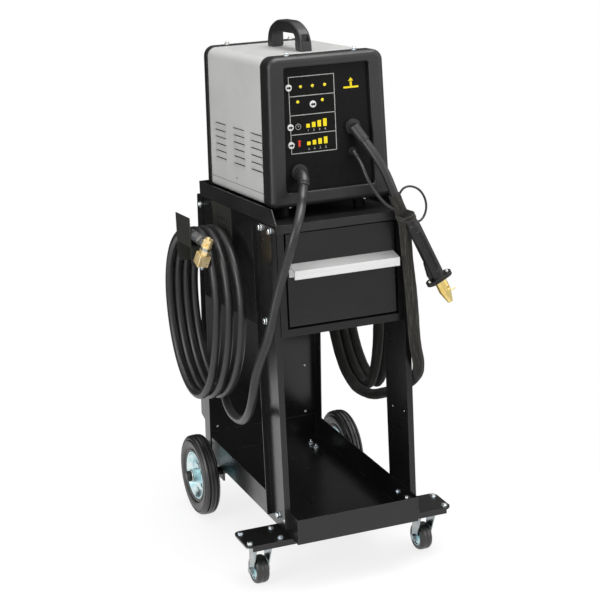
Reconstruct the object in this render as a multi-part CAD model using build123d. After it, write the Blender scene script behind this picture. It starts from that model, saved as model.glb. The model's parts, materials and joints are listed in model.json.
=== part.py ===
import math
import os

from build123d import *

os.makedirs("parts", exist_ok=True)

# Cart frame sizes, all in millimetres
sheet = 2.0
tray_w = 300.0
tray_d = 582.0
tray_wall_h = 60.0
tray_floor_z = 121.0
panel_flange = 33.0
panel_gap = 7.0
panel_rise = 187.6
bracket_depth = 30.0
bracket_lift = 90.0
bracket_h = 129.0
bracket_slope = 10.0
post_depth = 110.0
post_front_d = 3.0
post_flange = 14.0
post_gap = 26.8
post_top_drop = 6.0
post_clip = 9.0
post_hole_r = 3.0
post_holes = ((83.0, -246.0), (23.0, -243.0))

# The upper part leans back by this angle about the drawer's lower front edge
tilt = 4.4
upper_set = 70.4
upper_lift = 488.4

# Drawer cabinet, drawer and top tray
cab_rim_low = 21.5
cab_rim_top = 20.5
cab_back_gap = 3.0
drawer_margin = 20.0
drawer_h = 207.5
drawer_gap = 1.5
front_rim = 16.0
box_side_gap = 12.0
box_len = 400.0
box_low_h = 20.0
box_top_gap = 37.5
runner_h = 40.0
runner_low_h = 70.0
runner_fit = 0.4
runner_grip = 6.0
rail_gap = 1.0
handle_margin = 4.0
handle_reach = 33.0
handle_drop_h = 66.5
handle_drop = 10.0
handle_lip = 19.0
handle_t = 3.0
top_tray_side = 2.0
top_tray_front_d = -8.0
top_tray_d = 478.0
top_tray_wall = 34.0
top_tray_lip = 17.0
top_tray_slant = 23.0

# Cable hooks
hook_front_d = 288.0
hook_d = 94.0
hook_reach = 96.0
hook_end_h = 66.0
hook_flange = 50.0
hook_base_margin = 12.0
hook_arm_h = 145.0
hook_base_drop = 50.0
hook_base_rise = 81.0
hook_slot_len = 14.0
hook_slot_w = 6.0
hook_slot_up = 45.0
hook_slot_cols = (14.0, 32.0, 50.0, 68.0)
hook_round = 12.0

# Rear wheels and axle
wheel_r = 100.0
wheel_out = 43.0
axle_set = 65.0
tyre_w = 40.0
rim_r = 59.0
rim_w = 30.0
hub_w = 46.0
hub_r = 17.0
axle_r = 10.0
axle_tip = 13.0
collar_w = 7.0
axle_bracket_in = 12.0
axle_bracket_t = 4.0
axle_bracket_half = 27.0
axle_bracket_foot = 42.0
turn_gap = 0.35
side_gap = 0.6
wheel_holes = 6

# Caster bar and casters
bar_out = 107.0
bar_depth = 90.0
bar_set = 82.5
bar_t = 4.0
bar_flange_cut = 14.0
bar_flange_h = 14.0
caster_inset = 50.0
caster_bolt_x = 37.5
caster_bolt_y = 28.5
caster_plate_t = 4.0
caster_r = 32.5
caster_w = 30.0
caster_trail = 15.0
king_r = 6.0
race_r = 19.0
race_h = 8.0
crown_t = 5.0
fork_t = 2.5
fork_gap = 2.0
caster_axle_r = 4.0

# Welder case
case_lift = 28.0
case_h = 327.0
case_margin = 6.5
case_taper = 0.023
case_front_d = 36.0
case_len = 404.0
case_round_top = 24.0
case_round_low = 14.0
bezel_front_len = 46.0
bezel_back_len = 25.0
bezel_wall = 3.0
bezel_round = 12.0
bezel_round_back = 9.0
cover_inset = 3.2
cover_t = 1.5
cover_tuck = 8.0
seam_up = 28.0
recess_side = 36.5
recess_up = 33.0
recess_drop = 24.0
recess_depth = 10.0
recess_round = 6.0
recess_rim = 3.0
panel_t = 3.0
panel_margin = 8.0
louvre_len = 68.0
louvre_high = 8.0
louvre_out = 4.0
louvre_wall = 1.2
louvre_pitch = 16.0
louvre_rows = 6
louvre_up = 71.0
louvre_cols = (88.0, 193.0, 310.0)
feet_r = 13.0
feet_in = 51.5
feet_set = 16.0
vent_len = 120.0
vent_w = 6.0
vent_pitch = 14.0
vent_rows = 5
vent_drop = 40.0
gland_x = -60.0
gland_up = 26.0
gland_r = 14.0
gland_neck_r = 10.0
gland_t = 8.0
gland_neck = 14.0
carry_w = 28.0
carry_set = 103.0
carry_len = 201.0
carry_rise = 61.0
carry_leg = 33.0
carry_bar = 26.0
carry_lean = 6.0
carry_round = 48.0
carry_top_round = 100.0
carry_shoulder = 24.0
carry_arch = 56.0
carry_edge = 6.0
carry_window_round = 12.0
pocket_w = 17.0
pocket_deep = 12.0
pocket_low = 18.0
pocket_top = 52.0
button_r = 7.4
button_hole_r = 7.75
button_out = 3.0
button_flange = 2.0
button_flange_t = 1.5
button_play = 0.4
lamp_r = 3.2
lamp_out = 1.2

# Places on the control panel, as shares of the case's half width and height
button_spots = {
    "mode_button": (-0.610, 0.794),
    "trigger_button": (-0.223, 0.673),
    "time_button": (-0.609, 0.532),
    "power_button": (-0.608, 0.413),
}
lamp_spots = ((-0.411, 0.795), (-0.216, 0.795), (-0.014, 0.795), (-0.467, 0.696), (-0.063, 0.696))
earth_port = (-0.502, 0.231)
gun_port = (0.411, 0.4985)
control_port = (0.394, 0.333)
board_spot = (-0.244, 0.618)

# Transformer and control board
core_w = 132.0
core_h = 120.0
core_len = 90.0
core_limb = 20.0
core_yoke = 24.0
core_set = 164.0
winding_out = 22.0
winding_fit = 0.5
winding_round = 10.0
board_w = 126.0
board_h = 164.0
board_t = 2.0
board_gap = 10.0
board_post_r = 3.0
board_post_in = 8.0
board_post_left = 26.0
relay_w = 40.0
relay_t = 18.0
relay_left = 18.0
relay_up = 24.0
chip_w = 30.0
chip_h = 45.0
chip_t = 14.0
chip_left = 78.0
chip_up = 94.0

# Cables, gun and clamp
earth_dia = 20.0
gun_dia = 20.0
sleeve_dia = 26.0
control_dia = 7.0
lead_dia = 5.0
boot_ring_t = 7.0
boot_ring_step = 3.0
earth_boot_r = 12.2
earth_ring_r = 18.0
gun_ring_r = 17.0
gun_boot_r = 13.0
gun_boot_tip_r = 11.3
gun_boot_len = 40.0
control_ring_r = 9.0
control_boot_r = 5.4
control_boot_tip_r = 4.5
control_boot_len = 18.0
gun_len = 140.0
gun_w = 30.0
gun_deep = 28.0
gun_round = 12.0
gun_tail = 24.0
gun_flange_w = 64.0
gun_flange_deep = 33.0
gun_flange_t = 8.0
gun_screw_x = 23.5
gun_groove_w = 5.0
gun_groove_in = 25.0
nose_w = 27.0
nose_deep = 21.0
nose_len = 58.0
nose_taper = 28.0
nose_tip_w = 12.0
nose_tip_deep = 11.0
nose_round = 9.5
nose_tip_round = 4.5
nose_screw_r = 2.5
pin_r = 1.6
pin_out = 25.0
trigger_len = 39.0
trigger_w = 10.0
trigger_end = 6.5
trigger_out = 7.0
trigger_in = 4.5
trigger_travel = 3.0
trigger_play = 0.5
stud_r = 4.0
eye_t = 5.0
eye_r = 12.0
tongue_w = 16.0
lug_len = 42.0
lug_wall = 0.8
lug_reach = 32.0
clamp_collar_r = 12.5
clamp_collar = 12.0
clamp_w = 26.0
clamp_len = 27.0
clamp_tip_r = 4.0
clamp_tip = 6.0
clamp_stud = 26.0
nut_r = 12.0
nut_base = 5.0
nut_neck_r = 8.0
nut_len = 21.0
nut_wing = 13.0
nut_wing_t = 5.0
nut_wing_low = 9.0
tie_h = 222.5
tie_w = 16.0
tie_gap = 0.8

# Bolt heads and screws
head_r = 5.5
head_t = 3.5
post_bolt_drop = 10.0
post_bolt_rise = 11.0
panel_bolt_low = 30.0
panel_bolt_mid = 180.0
panel_bolt_top = 22.0
axle_bolt_in = 24.0
axle_bolt_half = 16.0
top_screw_in = 63.5
top_screw_front = 14.0
top_screw_back = 12.0
top_screw_r = 4.5
top_screw_t = 2.0
gun_screw_r = 3.6
gun_screw_t = 3.0

# Values that follow from the sizes above
half_w = tray_w / 2
half_length = (tray_d + wheel_r - axle_set) / 2
tray_front_y = -half_length
tray_back_y = tray_front_y + tray_d
axle_y = tray_back_y - axle_set
axle_z = wheel_r
wheel_x = half_w + wheel_out
face_x = half_w + sheet
sin_t = math.sin(math.radians(tilt))
cos_t = math.cos(math.radians(tilt))
upper_y = tray_front_y + upper_set
upper_z = tray_floor_z + upper_lift
panel_bottom_z = tray_floor_z + panel_gap
panel_top_z = upper_z + panel_rise
bracket_low_z = tray_floor_z + bracket_lift
bracket_high_z = bracket_low_z + bracket_h
drawer_w = tray_w - 2 * drawer_margin
box_w = drawer_w - 2 * box_side_gap
box_h = drawer_h - box_low_h - box_top_gap
runner_len = box_len - front_rim
handle_half = drawer_w / 2 - handle_margin
handle_top_h = drawer_h - handle_drop_h
cab_low_h = -cab_rim_low
cab_top_h = drawer_h + cab_rim_top
post_top_h = cab_top_h - post_top_drop
post_low_h = (tray_floor_z + post_gap - upper_z) / cos_t
hook_base_low_h = hook_arm_h - hook_base_drop
hook_base_top_h = hook_arm_h + hook_base_rise
bar_half = half_w + bar_out
bar_flange_half = bar_half - bar_flange_cut
bar_y = tray_front_y + bar_set
caster_x = bar_half - caster_inset
caster_y = bar_y
case_low_h = cab_top_h + case_lift
case_top_h = case_low_h + case_h
case_half = half_w - case_margin
case_back_d = case_front_d + case_len
seam_h = case_low_h + seam_up
recess_low_h = case_low_h + recess_up
recess_top_h = case_top_h - recess_drop
carry_front_d = case_front_d + carry_set
post_back_d = post_front_d + post_depth
hook_back_d = hook_front_d + hook_d
hook_end_x = face_x + hook_reach
opening_half = drawer_w / 2 + drawer_gap
panel_d = case_front_d + recess_depth


def up_point(x, d, h):
    """Model point of a place given in the leaning frame."""
    return Vector(x, upper_y + d * cos_t + h * sin_t, upper_z - d * sin_t + h * cos_t)


def up_dir(x, d, h):
    """Model direction of a direction given in the leaning frame."""
    return Vector(x, d * cos_t + h * sin_t, h * cos_t - d * sin_t).normalized()


def lean(shape):
    """Put a shape made in the leaning frame into the model."""
    return Pos(0, upper_y, upper_z) * Rot(-tilt, 0, 0) * shape


def block(x0, x1, y0, y1, z0, z1):
    """Box between two corners."""
    box = Box(abs(x1 - x0), abs(y1 - y0), abs(z1 - z0))
    return Pos((x0 + x1) / 2, (y0 + y1) / 2, (z0 + z1) / 2) * box


def slab(sketch, d0, d1):
    """Sketch of x and height, thickened along the depth."""
    return Pos(0, d1, 0) * extrude(Plane.XZ * sketch, amount=d1 - d0, dir=(0, -1, 0))


def plank(sketch, x0, x1):
    """Sketch of depth and height, thickened along x."""
    return Pos(min(x0, x1), 0, 0) * extrude(Plane.YZ * sketch, amount=abs(x1 - x0), dir=(1, 0, 0))


def poly(*points):
    """Closed outline through the points as they are."""
    return Polygon(*points, align=None)


def rod_x(r, x0, x1, y, z):
    """Round bar along x."""
    return Pos((x0 + x1) / 2, y, z) * Rot(0, 90, 0) * Cylinder(r, abs(x1 - x0))


def rod_y(r, x, y0, y1, z):
    """Round bar along y."""
    return Pos(x, (y0 + y1) / 2, z) * Rot(90, 0, 0) * Cylinder(r, abs(y1 - y0))


def rod_z(r, x, y, z0, z1):
    """Round bar along z."""
    return Pos(x, y, (z0 + z1) / 2) * Cylinder(r, abs(z1 - z0))


def flip(shape):
    """The same shape on the other side of the cart."""
    return mirror(shape, Plane.YZ)


def panel_place(spot):
    """Place on the control panel, from shares of the case's size."""
    return spot[0] * case_half, case_low_h + spot[1] * case_h


def stud(place, way, r, t):
    """Low round head standing on a face."""
    spot = Plane(origin=place, z_dir=way)
    return spot.location * Cylinder(r, t, align=(Align.CENTER, Align.CENTER, Align.MIN))


def spin_x(*points):
    """Body turned about the x axis from points of x and radius."""
    return revolve(Plane.XY * poly(*points), Axis.X)


# Lower tray, one folded sheet with four walls
tray_top_z = tray_floor_z + tray_wall_h
lower_tray = block(-half_w, half_w, tray_front_y, tray_back_y, tray_floor_z, tray_top_z)
lower_tray = fillet(lower_tray.edges().group_by(Axis.Z)[0], sheet)
lower_tray -= block(
    -half_w + sheet,
    half_w - sheet,
    tray_front_y + sheet,
    tray_back_y - sheet,
    tray_floor_z + sheet,
    tray_top_z + sheet,
)

# Rear panel with side flanges folded forward
panel_back_y = tray_back_y + sheet
rear_panel = block(-face_x, face_x, tray_back_y, panel_back_y, panel_bottom_z, panel_top_z)
flange_side = block(half_w, face_x, tray_back_y - panel_flange, panel_back_y, panel_bottom_z, panel_top_z)
rear_panel = rear_panel + flange_side + flip(flange_side)

# Cord bracket, a short channel behind the rear panel
bracket_end_y = panel_back_y + bracket_depth
cheek_shape = poly(
    (panel_back_y, bracket_low_z),
    (bracket_end_y, bracket_low_z + bracket_slope),
    (bracket_end_y, bracket_high_z - bracket_slope),
    (panel_back_y, bracket_high_z),
)
cheek = plank(cheek_shape, half_w - sheet, half_w)
cord_bracket = block(-half_w, half_w, panel_back_y, panel_back_y + sheet, bracket_low_z, bracket_high_z)
cord_bracket = cord_bracket + cheek + flip(cheek)

# Front posts, channels that open outward and lean back
post_web_shape = poly(
    (post_front_d, post_low_h),
    (post_back_d, post_low_h),
    (post_back_d, post_top_h - post_clip),
    (post_back_d - post_clip, post_top_h),
    (post_front_d + post_clip, post_top_h),
    (post_front_d, post_top_h - post_clip),
)
post_web = plank(post_web_shape, half_w, face_x)
for hole_d, hole_h in post_holes:
    post_web -= rod_x(post_hole_r, half_w - 1.0, face_x + 1.0, hole_d, hole_h)
post_out_x = half_w + post_flange
post_flange_top = post_top_h - post_clip
post_front = block(half_w, post_out_x, post_front_d, post_front_d + sheet, post_low_h, post_flange_top)
post_rear = block(half_w, post_out_x, post_back_d - sheet, post_back_d, post_low_h, post_flange_top)
right_front_post = lean(post_web + post_front + post_rear)
left_front_post = flip(right_front_post)

# Caster bar under the tray
bar_low_z = tray_floor_z - bar_t
bar_front_y = bar_y - bar_depth / 2
bar_plate = extrude(RectangleRounded(2 * bar_half, bar_depth, 4 * bar_t), amount=bar_t)
caster_bar = Pos(0, bar_y, bar_low_z) * bar_plate
caster_bar += block(
    -bar_flange_half,
    bar_flange_half,
    bar_front_y,
    bar_front_y + bar_t,
    tray_floor_z - bar_flange_h,
    tray_floor_z,
)

# Drawer cabinet with a rear edge that stays upright
cab_back_y = tray_back_y - cab_back_gap


def cab_back_d(h):
    """Depth in the leaning frame of the upright rear edge."""
    return (cab_back_y - upper_y - h * sin_t) / cos_t


cab_side_shape = poly(
    (0, cab_low_h),
    (cab_back_d(cab_low_h), cab_low_h),
    (cab_back_d(cab_top_h), cab_top_h),
    (0, cab_top_h),
)
cab_side = plank(cab_side_shape, half_w - sheet, half_w)
cabinet = cab_side + flip(cab_side)
cabinet += block(-half_w, half_w, 0, cab_back_d(cab_top_h) - sheet, cab_low_h, cab_low_h + sheet)
cab_front = block(-half_w, half_w, 0, sheet, cab_low_h, cab_top_h)
cab_front -= block(-opening_half, opening_half, -sheet, 2 * sheet, -drawer_gap, drawer_h + drawer_gap)
drawer_cabinet = lean(cabinet + cab_front)

# Fixed runners, channels open toward the drawer
runner_in_x = box_w / 2 + runner_grip
runner_top_h = runner_low_h + runner_h
run_side_x = half_w - sheet
run_front_d = front_rim + 2 * sheet
run_back_d = run_front_d + runner_len
fixed_run = block(run_side_x - sheet, run_side_x, run_front_d, run_back_d, runner_low_h, runner_top_h)
fixed_run += block(runner_in_x, run_side_x, run_front_d, run_back_d, runner_low_h, runner_low_h + sheet)
fixed_run += block(runner_in_x, run_side_x, run_front_d, run_back_d, runner_top_h - sheet, runner_top_h)
fixed_run = lean(fixed_run)
cabinet_runners = Compound([fixed_run, flip(fixed_run)])

# Drawer box, front, handle and sliding rails
drawer_box = block(-box_w / 2, box_w / 2, sheet, sheet + box_len, box_low_h, box_low_h + box_h)
drawer_box -= block(
    -box_w / 2 + sheet,
    box_w / 2 - sheet,
    2 * sheet,
    box_len,
    box_low_h + sheet,
    box_low_h + box_h + sheet,
)
drawer_box = lean(drawer_box)
drawer_front = block(-drawer_w / 2, drawer_w / 2, 0, front_rim, 0, drawer_h)
drawer_front = fillet(drawer_front.edges().group_by(Axis.Y)[0], 1.5)
drawer_front -= block(
    -drawer_w / 2 + sheet,
    drawer_w / 2 - sheet,
    sheet,
    2 * front_rim,
    sheet,
    drawer_h - sheet,
)
drawer_front = lean(drawer_front)
handle_front_h = handle_top_h - handle_drop
handle_slope = handle_drop / handle_reach
handle_shape = poly(
    (0, handle_top_h),
    (-handle_reach, handle_front_h),
    (-handle_reach, handle_front_h - handle_lip),
    (-handle_reach + handle_t, handle_front_h - handle_lip),
    (-handle_reach + handle_t, handle_front_h - handle_t + handle_t * handle_slope),
    (-handle_t, handle_top_h - handle_t - handle_t * handle_slope),
    (-handle_t, handle_front_h - handle_lip),
    (0, handle_front_h - handle_lip),
)
drawer_handle = lean(plank(handle_shape, -handle_half, handle_half))
rail_low_h = runner_low_h + sheet + runner_fit
rail_top_h = runner_top_h - sheet - runner_fit
rail_out_x = drawer_w / 2 - rail_gap
rail = block(box_w / 2, rail_out_x, front_rim + sheet, sheet + box_len, rail_low_h, rail_top_h)
rail = lean(rail)
drawer_runners = Compound([rail, flip(rail)])

# Top tray with slanted lip ends
tray_floor_h = cab_top_h
top_half = half_w + 2 * top_tray_side
top_back_d = top_tray_front_d + top_tray_d
top_lip_h = tray_floor_h + top_tray_wall
top_side_shape = poly(
    (top_tray_front_d, tray_floor_h),
    (top_back_d, tray_floor_h),
    (top_back_d, top_lip_h),
    (top_tray_front_d + top_tray_slant, top_lip_h),
    (top_tray_front_d, tray_floor_h + sheet),
)
top_side = plank(top_side_shape, top_half - sheet, top_half)
top_tray = block(-top_half, top_half, top_tray_front_d, top_back_d, tray_floor_h, tray_floor_h + sheet)
top_tray += block(
    -top_half,
    top_half,
    top_tray_front_d,
    top_tray_front_d + sheet,
    tray_floor_h - top_tray_lip,
    tray_floor_h + sheet,
)
top_tray += block(-top_half, top_half, top_back_d - sheet, top_back_d, tray_floor_h, top_lip_h)
top_tray = lean(top_tray + top_side + flip(top_side))

# Cable hooks, a folded arm on a base plate
hook = block(
    half_w,
    face_x,
    hook_front_d - hook_base_margin,
    hook_back_d + hook_base_margin,
    hook_base_low_h,
    hook_base_top_h,
)
for slot_in in hook_slot_cols:
    slot_place = Pos(hook_front_d + slot_in, hook_arm_h + hook_slot_up) * Rot(0, 0, 90)
    slot = Plane.YZ * (slot_place * SlotOverall(hook_slot_len, hook_slot_w))
    hook -= Pos(half_w - 1.0, 0, 0) * extrude(slot, amount=2 * sheet)
hook += block(half_w, hook_end_x, hook_front_d, hook_back_d, hook_arm_h - sheet, hook_arm_h)
hook += block(
    hook_end_x - sheet,
    hook_end_x,
    hook_front_d,
    hook_back_d,
    hook_arm_h - sheet,
    hook_arm_h + hook_end_h,
)
hook_low_h = hook_arm_h - hook_flange
side_face = Pos((face_x + hook_end_x) / 2, (hook_low_h + hook_arm_h) / 2)
hook_cheek_shape = side_face * Rectangle(hook_end_x - face_x, hook_flange)
low_corner = hook_cheek_shape.vertices().group_by(Axis.Y)[0].sort_by(Axis.X)[-1]
hook_cheek_shape = fillet(low_corner, hook_round)
hook += slab(hook_cheek_shape, hook_front_d, hook_front_d + sheet)
hook += slab(hook_cheek_shape, hook_back_d - sheet, hook_back_d)
right_cable_hook = lean(hook)
left_cable_hook = flip(right_cable_hook)

# Axle with shoulders, and its two brackets
hub_out_x = wheel_x + hub_w / 2
hub_in_x = wheel_x - hub_w / 2
axle_end_x = hub_out_x + side_gap + axle_tip
collar_out_x = hub_in_x - side_gap
axle = rod_x(axle_r, -axle_end_x, axle_end_x, axle_y, axle_z)
for side in (-1, 1):
    axle += rod_x(hub_r - 3.0, side * (collar_out_x - collar_w), side * collar_out_x, axle_y, axle_z)
bracket_x = half_w - axle_bracket_in
axle_bracket = block(
    bracket_x,
    bracket_x + axle_bracket_t,
    axle_y - axle_bracket_half,
    axle_y + axle_bracket_half,
    axle_z - 1.7 * axle_r,
    tray_floor_z,
)
axle_bracket += block(
    bracket_x - axle_bracket_foot,
    bracket_x,
    axle_y - axle_bracket_half,
    axle_y + axle_bracket_half,
    tray_floor_z - axle_bracket_t,
    tray_floor_z,
)
axle_bracket -= rod_x(axle_r, bracket_x - 1.0, bracket_x + 2 * axle_bracket_t, axle_y, axle_z)
axle_brackets = Compound([axle_bracket, flip(axle_bracket)])

# Rear wheels, a ribbed tyre on a pressed disc
tread = tyre_w / 2
groove = 3.5
tyre = spin_x(
    (-rim_w / 2, rim_r),
    (-tread, rim_r + 8.0),
    (-tread, wheel_r - 13.0),
    (-tread + 4.0, wheel_r - 3.0),
    (-tread + 8.0, wheel_r),
    (-7.0, wheel_r),
    (-6.0, wheel_r - groove),
    (-4.0, wheel_r - groove),
    (-3.0, wheel_r),
    (3.0, wheel_r),
    (4.0, wheel_r - groove),
    (6.0, wheel_r - groove),
    (7.0, wheel_r),
    (tread - 8.0, wheel_r),
    (tread - 4.0, wheel_r - 3.0),
    (tread, wheel_r - 13.0),
    (tread, rim_r + 8.0),
    (rim_w / 2, rim_r),
)
right_tyre = Pos(wheel_x, axle_y, axle_z) * tyre
left_tyre = flip(right_tyre)
disc = spin_x(
    (-hub_w / 2, axle_r + turn_gap),
    (hub_w / 2, axle_r + turn_gap),
    (hub_w / 2, hub_r),
    (9.0, hub_r),
    (9.0, rim_r - 28.0),
    (3.0, rim_r - 12.0),
    (rim_w / 2 - 4.0, rim_r - 5.0),
    (rim_w / 2, rim_r - 3.0),
    (rim_w / 2, rim_r),
    (-rim_w / 2, rim_r),
    (-rim_w / 2, rim_r - 3.0),
    (-1.0, rim_r - 8.0),
    (-1.0, rim_r - 12.0),
    (5.0, rim_r - 28.0),
    (5.0, hub_r),
    (-hub_w / 2, hub_r),
)
for turn in range(wheel_holes):
    hole = Pos(0, 0, rim_r - 23.0) * Rot(0, 90, 0) * Cylinder(6.5, 40.0)
    disc -= Rot(360.0 * turn / wheel_holes, 0, 0) * hole
right_wheel_disc = Pos(wheel_x, axle_y, axle_z) * disc
left_wheel_disc = flip(right_wheel_disc)

# Casters: a plate with its king pin, a turning fork and a wheel
plate_top_z = bar_low_z
plate_low_z = plate_top_z - caster_plate_t
race_low_z = plate_low_z - race_h
crown_top_z = race_low_z - side_gap
crown_low_z = crown_top_z - crown_t
plate_shape = RectangleRounded(2 * caster_bolt_x + 20.0, bar_depth - 4 * bar_t, 6.0)
caster_plate = Pos(0, 0, plate_low_z) * extrude(plate_shape, amount=caster_plate_t)
caster_plate += rod_z(race_r, 0, 0, race_low_z, plate_low_z)
caster_plate += rod_z(king_r, 0, 0, crown_low_z - side_gap - 3.0, race_low_z)
caster_plate += rod_z(king_r + 4.0, 0, 0, crown_low_z - side_gap - 3.0, crown_low_z - side_gap)
caster_plates = Compound([Pos(side * caster_x, caster_y, 0) * caster_plate for side in (-1, 1)])
leg_in_x = caster_w / 2 + fork_gap
leg_out_x = leg_in_x + fork_t
leg_shape = poly(
    (-race_r, crown_top_z),
    (-race_r, crown_low_z - 6.0),
    (caster_trail - 9.0, caster_r - 4.0),
    (caster_trail - 5.0, caster_r - 10.0),
    (caster_trail + 5.0, caster_r - 10.0),
    (caster_trail + 10.0, caster_r - 3.0),
    (race_r + 4.0, crown_low_z - 6.0),
    (race_r, crown_top_z),
)
leg = plank(leg_shape, leg_in_x, leg_out_x)
leg -= rod_x(caster_axle_r, leg_in_x - 1.0, leg_out_x + 1.0, caster_trail, caster_r)
crown = block(-leg_out_x, leg_out_x, -race_r, race_r, crown_low_z, crown_top_z)
crown -= rod_z(king_r + turn_gap, 0, 0, crown_low_z - 1.0, crown_top_z + 1.0)
fork = crown + leg + flip(leg)
axle_head = leg_out_x + 5.0
caster_bolt = rod_x(caster_axle_r, -axle_head, axle_head, caster_trail, caster_r)
for side in (-1, 1):
    caster_bolt += rod_x(caster_axle_r + 3.0, side * leg_out_x, side * axle_head, caster_trail, caster_r)
fork_set = Compound([fork, caster_bolt])
left_caster_fork = Pos(-caster_x, caster_y, 0) * fork_set
right_caster_fork = Pos(caster_x, caster_y, 0) * fork_set
caster_half = caster_w / 2
hub_half = caster_half + fork_gap - side_gap
roller = spin_x(
    (-hub_half, caster_axle_r + turn_gap),
    (hub_half, caster_axle_r + turn_gap),
    (hub_half, caster_axle_r + 6.0),
    (caster_half - 3.0, caster_axle_r + 8.0),
    (caster_half - 3.0, caster_r - 10.0),
    (caster_half, caster_r - 8.0),
    (caster_half, caster_r - 3.0),
    (caster_half - 4.0, caster_r),
    (-caster_half + 4.0, caster_r),
    (-caster_half, caster_r - 3.0),
    (-caster_half, caster_r - 8.0),
    (-caster_half + 3.0, caster_r - 10.0),
    (-caster_half + 3.0, caster_axle_r + 8.0),
    (-hub_half, caster_axle_r + 6.0),
)
left_caster_wheel = Pos(-caster_x, caster_y + caster_trail, caster_r) * roller
right_caster_wheel = Pos(caster_x, caster_y + caster_trail, caster_r) * roller


def case_x(h, inset):
    """Half width of the tapered case at a height."""
    return case_half - case_taper * (h - case_low_h) - inset


def case_outline(inset):
    """Rounded, tapered outline of the case, moved inward by the inset."""
    low = case_low_h + inset
    top = case_top_h - inset
    shape = poly(
        (-case_x(low, inset), low),
        (case_x(low, inset), low),
        (case_x(top, inset), top),
        (-case_x(top, inset), top),
    )
    shape = fillet(shape.vertices().group_by(Axis.Y)[0], case_round_low - inset)
    return fillet(shape.vertices().group_by(Axis.Y)[-1], case_round_top - inset)


def recess_outline(grow):
    """Outline of the sunk panel, moved outward by a margin."""
    low = recess_low_h - grow
    top = recess_top_h + grow
    shape = poly(
        (-case_x(low, recess_side - grow), low),
        (case_x(low, recess_side - grow), low),
        (case_x(top, recess_side - grow), top),
        (-case_x(top, recess_side - grow), top),
    )
    return fillet(shape.vertices(), recess_round + grow)


def at_recess_rim(edge):
    """True for the front edges round the sunk panel."""
    spot = edge.center()
    inside = abs(spot.X) < case_x(recess_low_h, recess_side) + 1.0
    level = recess_low_h - 1.0 < spot.Z < recess_top_h + 1.0
    return inside and level and abs(spot.Y - case_front_d) < 0.01


# Front and rear bezels, hollow mouldings with a sunk face
bezel_back_d = case_front_d + bezel_front_len
front_bezel = slab(case_outline(0), case_front_d, bezel_back_d)
front_bezel = fillet(front_bezel.edges().group_by(Axis.Y)[0], bezel_round)
front_bezel -= slab(case_outline(bezel_wall), panel_d, bezel_back_d + 1.0)
front_bezel -= slab(recess_outline(0), case_front_d - 1.0, panel_d + 1.0)
front_bezel = fillet(front_bezel.edges().filter_by(at_recess_rim), recess_rim)
front_bezel = lean(front_bezel)
rear_wall_d = case_back_d - 6.0
bezel_rear_d = case_back_d - bezel_back_len
rear_bezel = slab(case_outline(0), bezel_rear_d, case_back_d)
rear_bezel = fillet(rear_bezel.edges().group_by(Axis.Y)[-1], bezel_round_back)
rear_bezel -= slab(case_outline(bezel_wall + 6.0), bezel_rear_d + 12.0, rear_wall_d)
rear_bezel -= slab(case_outline(bezel_wall), bezel_rear_d - 1.0, bezel_rear_d + 12.0)
rear_bezel -= slab(recess_outline(0), rear_wall_d - 1.0, case_back_d + 1.0)
rear_bezel = lean(rear_bezel)

# Cover with pressed louvres, over a base pan
cover_d0 = bezel_back_d - cover_tuck
cover_d1 = bezel_rear_d + cover_tuck
shell = slab(case_outline(cover_inset), cover_d0, cover_d1)
shell -= slab(case_outline(cover_inset + cover_t), cover_d0 - 1.0, cover_d1 + 1.0)
above = block(-2 * half_w, 2 * half_w, cover_d0 - 2.0, cover_d1 + 2.0, seam_h, case_top_h)
below = block(-2 * half_w, 2 * half_w, cover_d0 - 2.0, cover_d1 + 2.0, case_low_h - 1.0, seam_h)
cover = shell & above
draft = math.degrees(math.atan(case_taper))
hood_shape = poly((0, -louvre_high / 2), (louvre_out, louvre_high / 2), (0, louvre_high / 2))
void_shape = poly(
    (-louvre_out, 3 * louvre_wall - louvre_high / 2),
    (0, 3 * louvre_wall - louvre_high / 2),
    (louvre_out - louvre_wall, louvre_high / 2 + louvre_wall),
    (-louvre_out, louvre_high / 2 + louvre_wall),
)
hood = slab(hood_shape, -louvre_len / 2, louvre_len / 2)
hood_void = slab(void_shape, -louvre_len / 2 + louvre_wall, louvre_len / 2 - louvre_wall)
hoods = []
voids = []
for row in range(louvre_rows):
    for col in louvre_cols:
        row_h = case_low_h + louvre_up + row * louvre_pitch
        row_x = case_x(row_h, cover_inset) - 0.2
        spot = Pos(row_x, case_front_d + col, row_h) * Rot(0, -draft, 0)
        hoods.append(spot * hood)
        hoods.append(flip(spot * hood))
        voids.append(spot * hood_void)
        voids.append(flip(spot * hood_void))
cover = cover + hoods
cover = cover - voids
side_cover = lean(cover)
base_pan = lean(shell & below)

# Control panel, buttons, lamps and back panel
control_panel = slab(recess_outline(panel_margin), panel_d, panel_d + panel_t)
for name, spot in button_spots.items():
    spot_x, spot_h = panel_place(spot)
    control_panel -= rod_y(button_hole_r, spot_x, panel_d - 1.0, panel_d + panel_t + 1.0, spot_h)
control_panel = lean(control_panel)
buttons = {}
for name, spot in button_spots.items():
    spot_x, spot_h = panel_place(spot)
    back_d = panel_d + panel_t + button_play
    cap = rod_y(button_r, spot_x, panel_d - button_out, back_d + button_flange_t, spot_h)
    cap = fillet(cap.edges().group_by(Axis.Y)[0], 1.2)
    cap += rod_y(button_r + button_flange, spot_x, back_d, back_d + button_flange_t, spot_h)
    buttons[name] = lean(cap)
lamps = []
for spot in lamp_spots:
    spot_x, spot_h = panel_place(spot)
    lamps.append(lean(rod_y(lamp_r, spot_x, panel_d - lamp_out, panel_d, spot_h)))
indicator_lamps = Compound(lamps)
back_panel = slab(recess_outline(panel_margin), rear_wall_d - panel_t, rear_wall_d)
for row in range(vent_rows):
    vent = Pos(0, recess_top_h - vent_drop - vent_pitch * row) * SlotOverall(vent_len, vent_w)
    back_panel -= slab(vent, rear_wall_d - panel_t - 1.0, rear_wall_d + 1.0)
back_panel = lean(back_panel)
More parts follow.
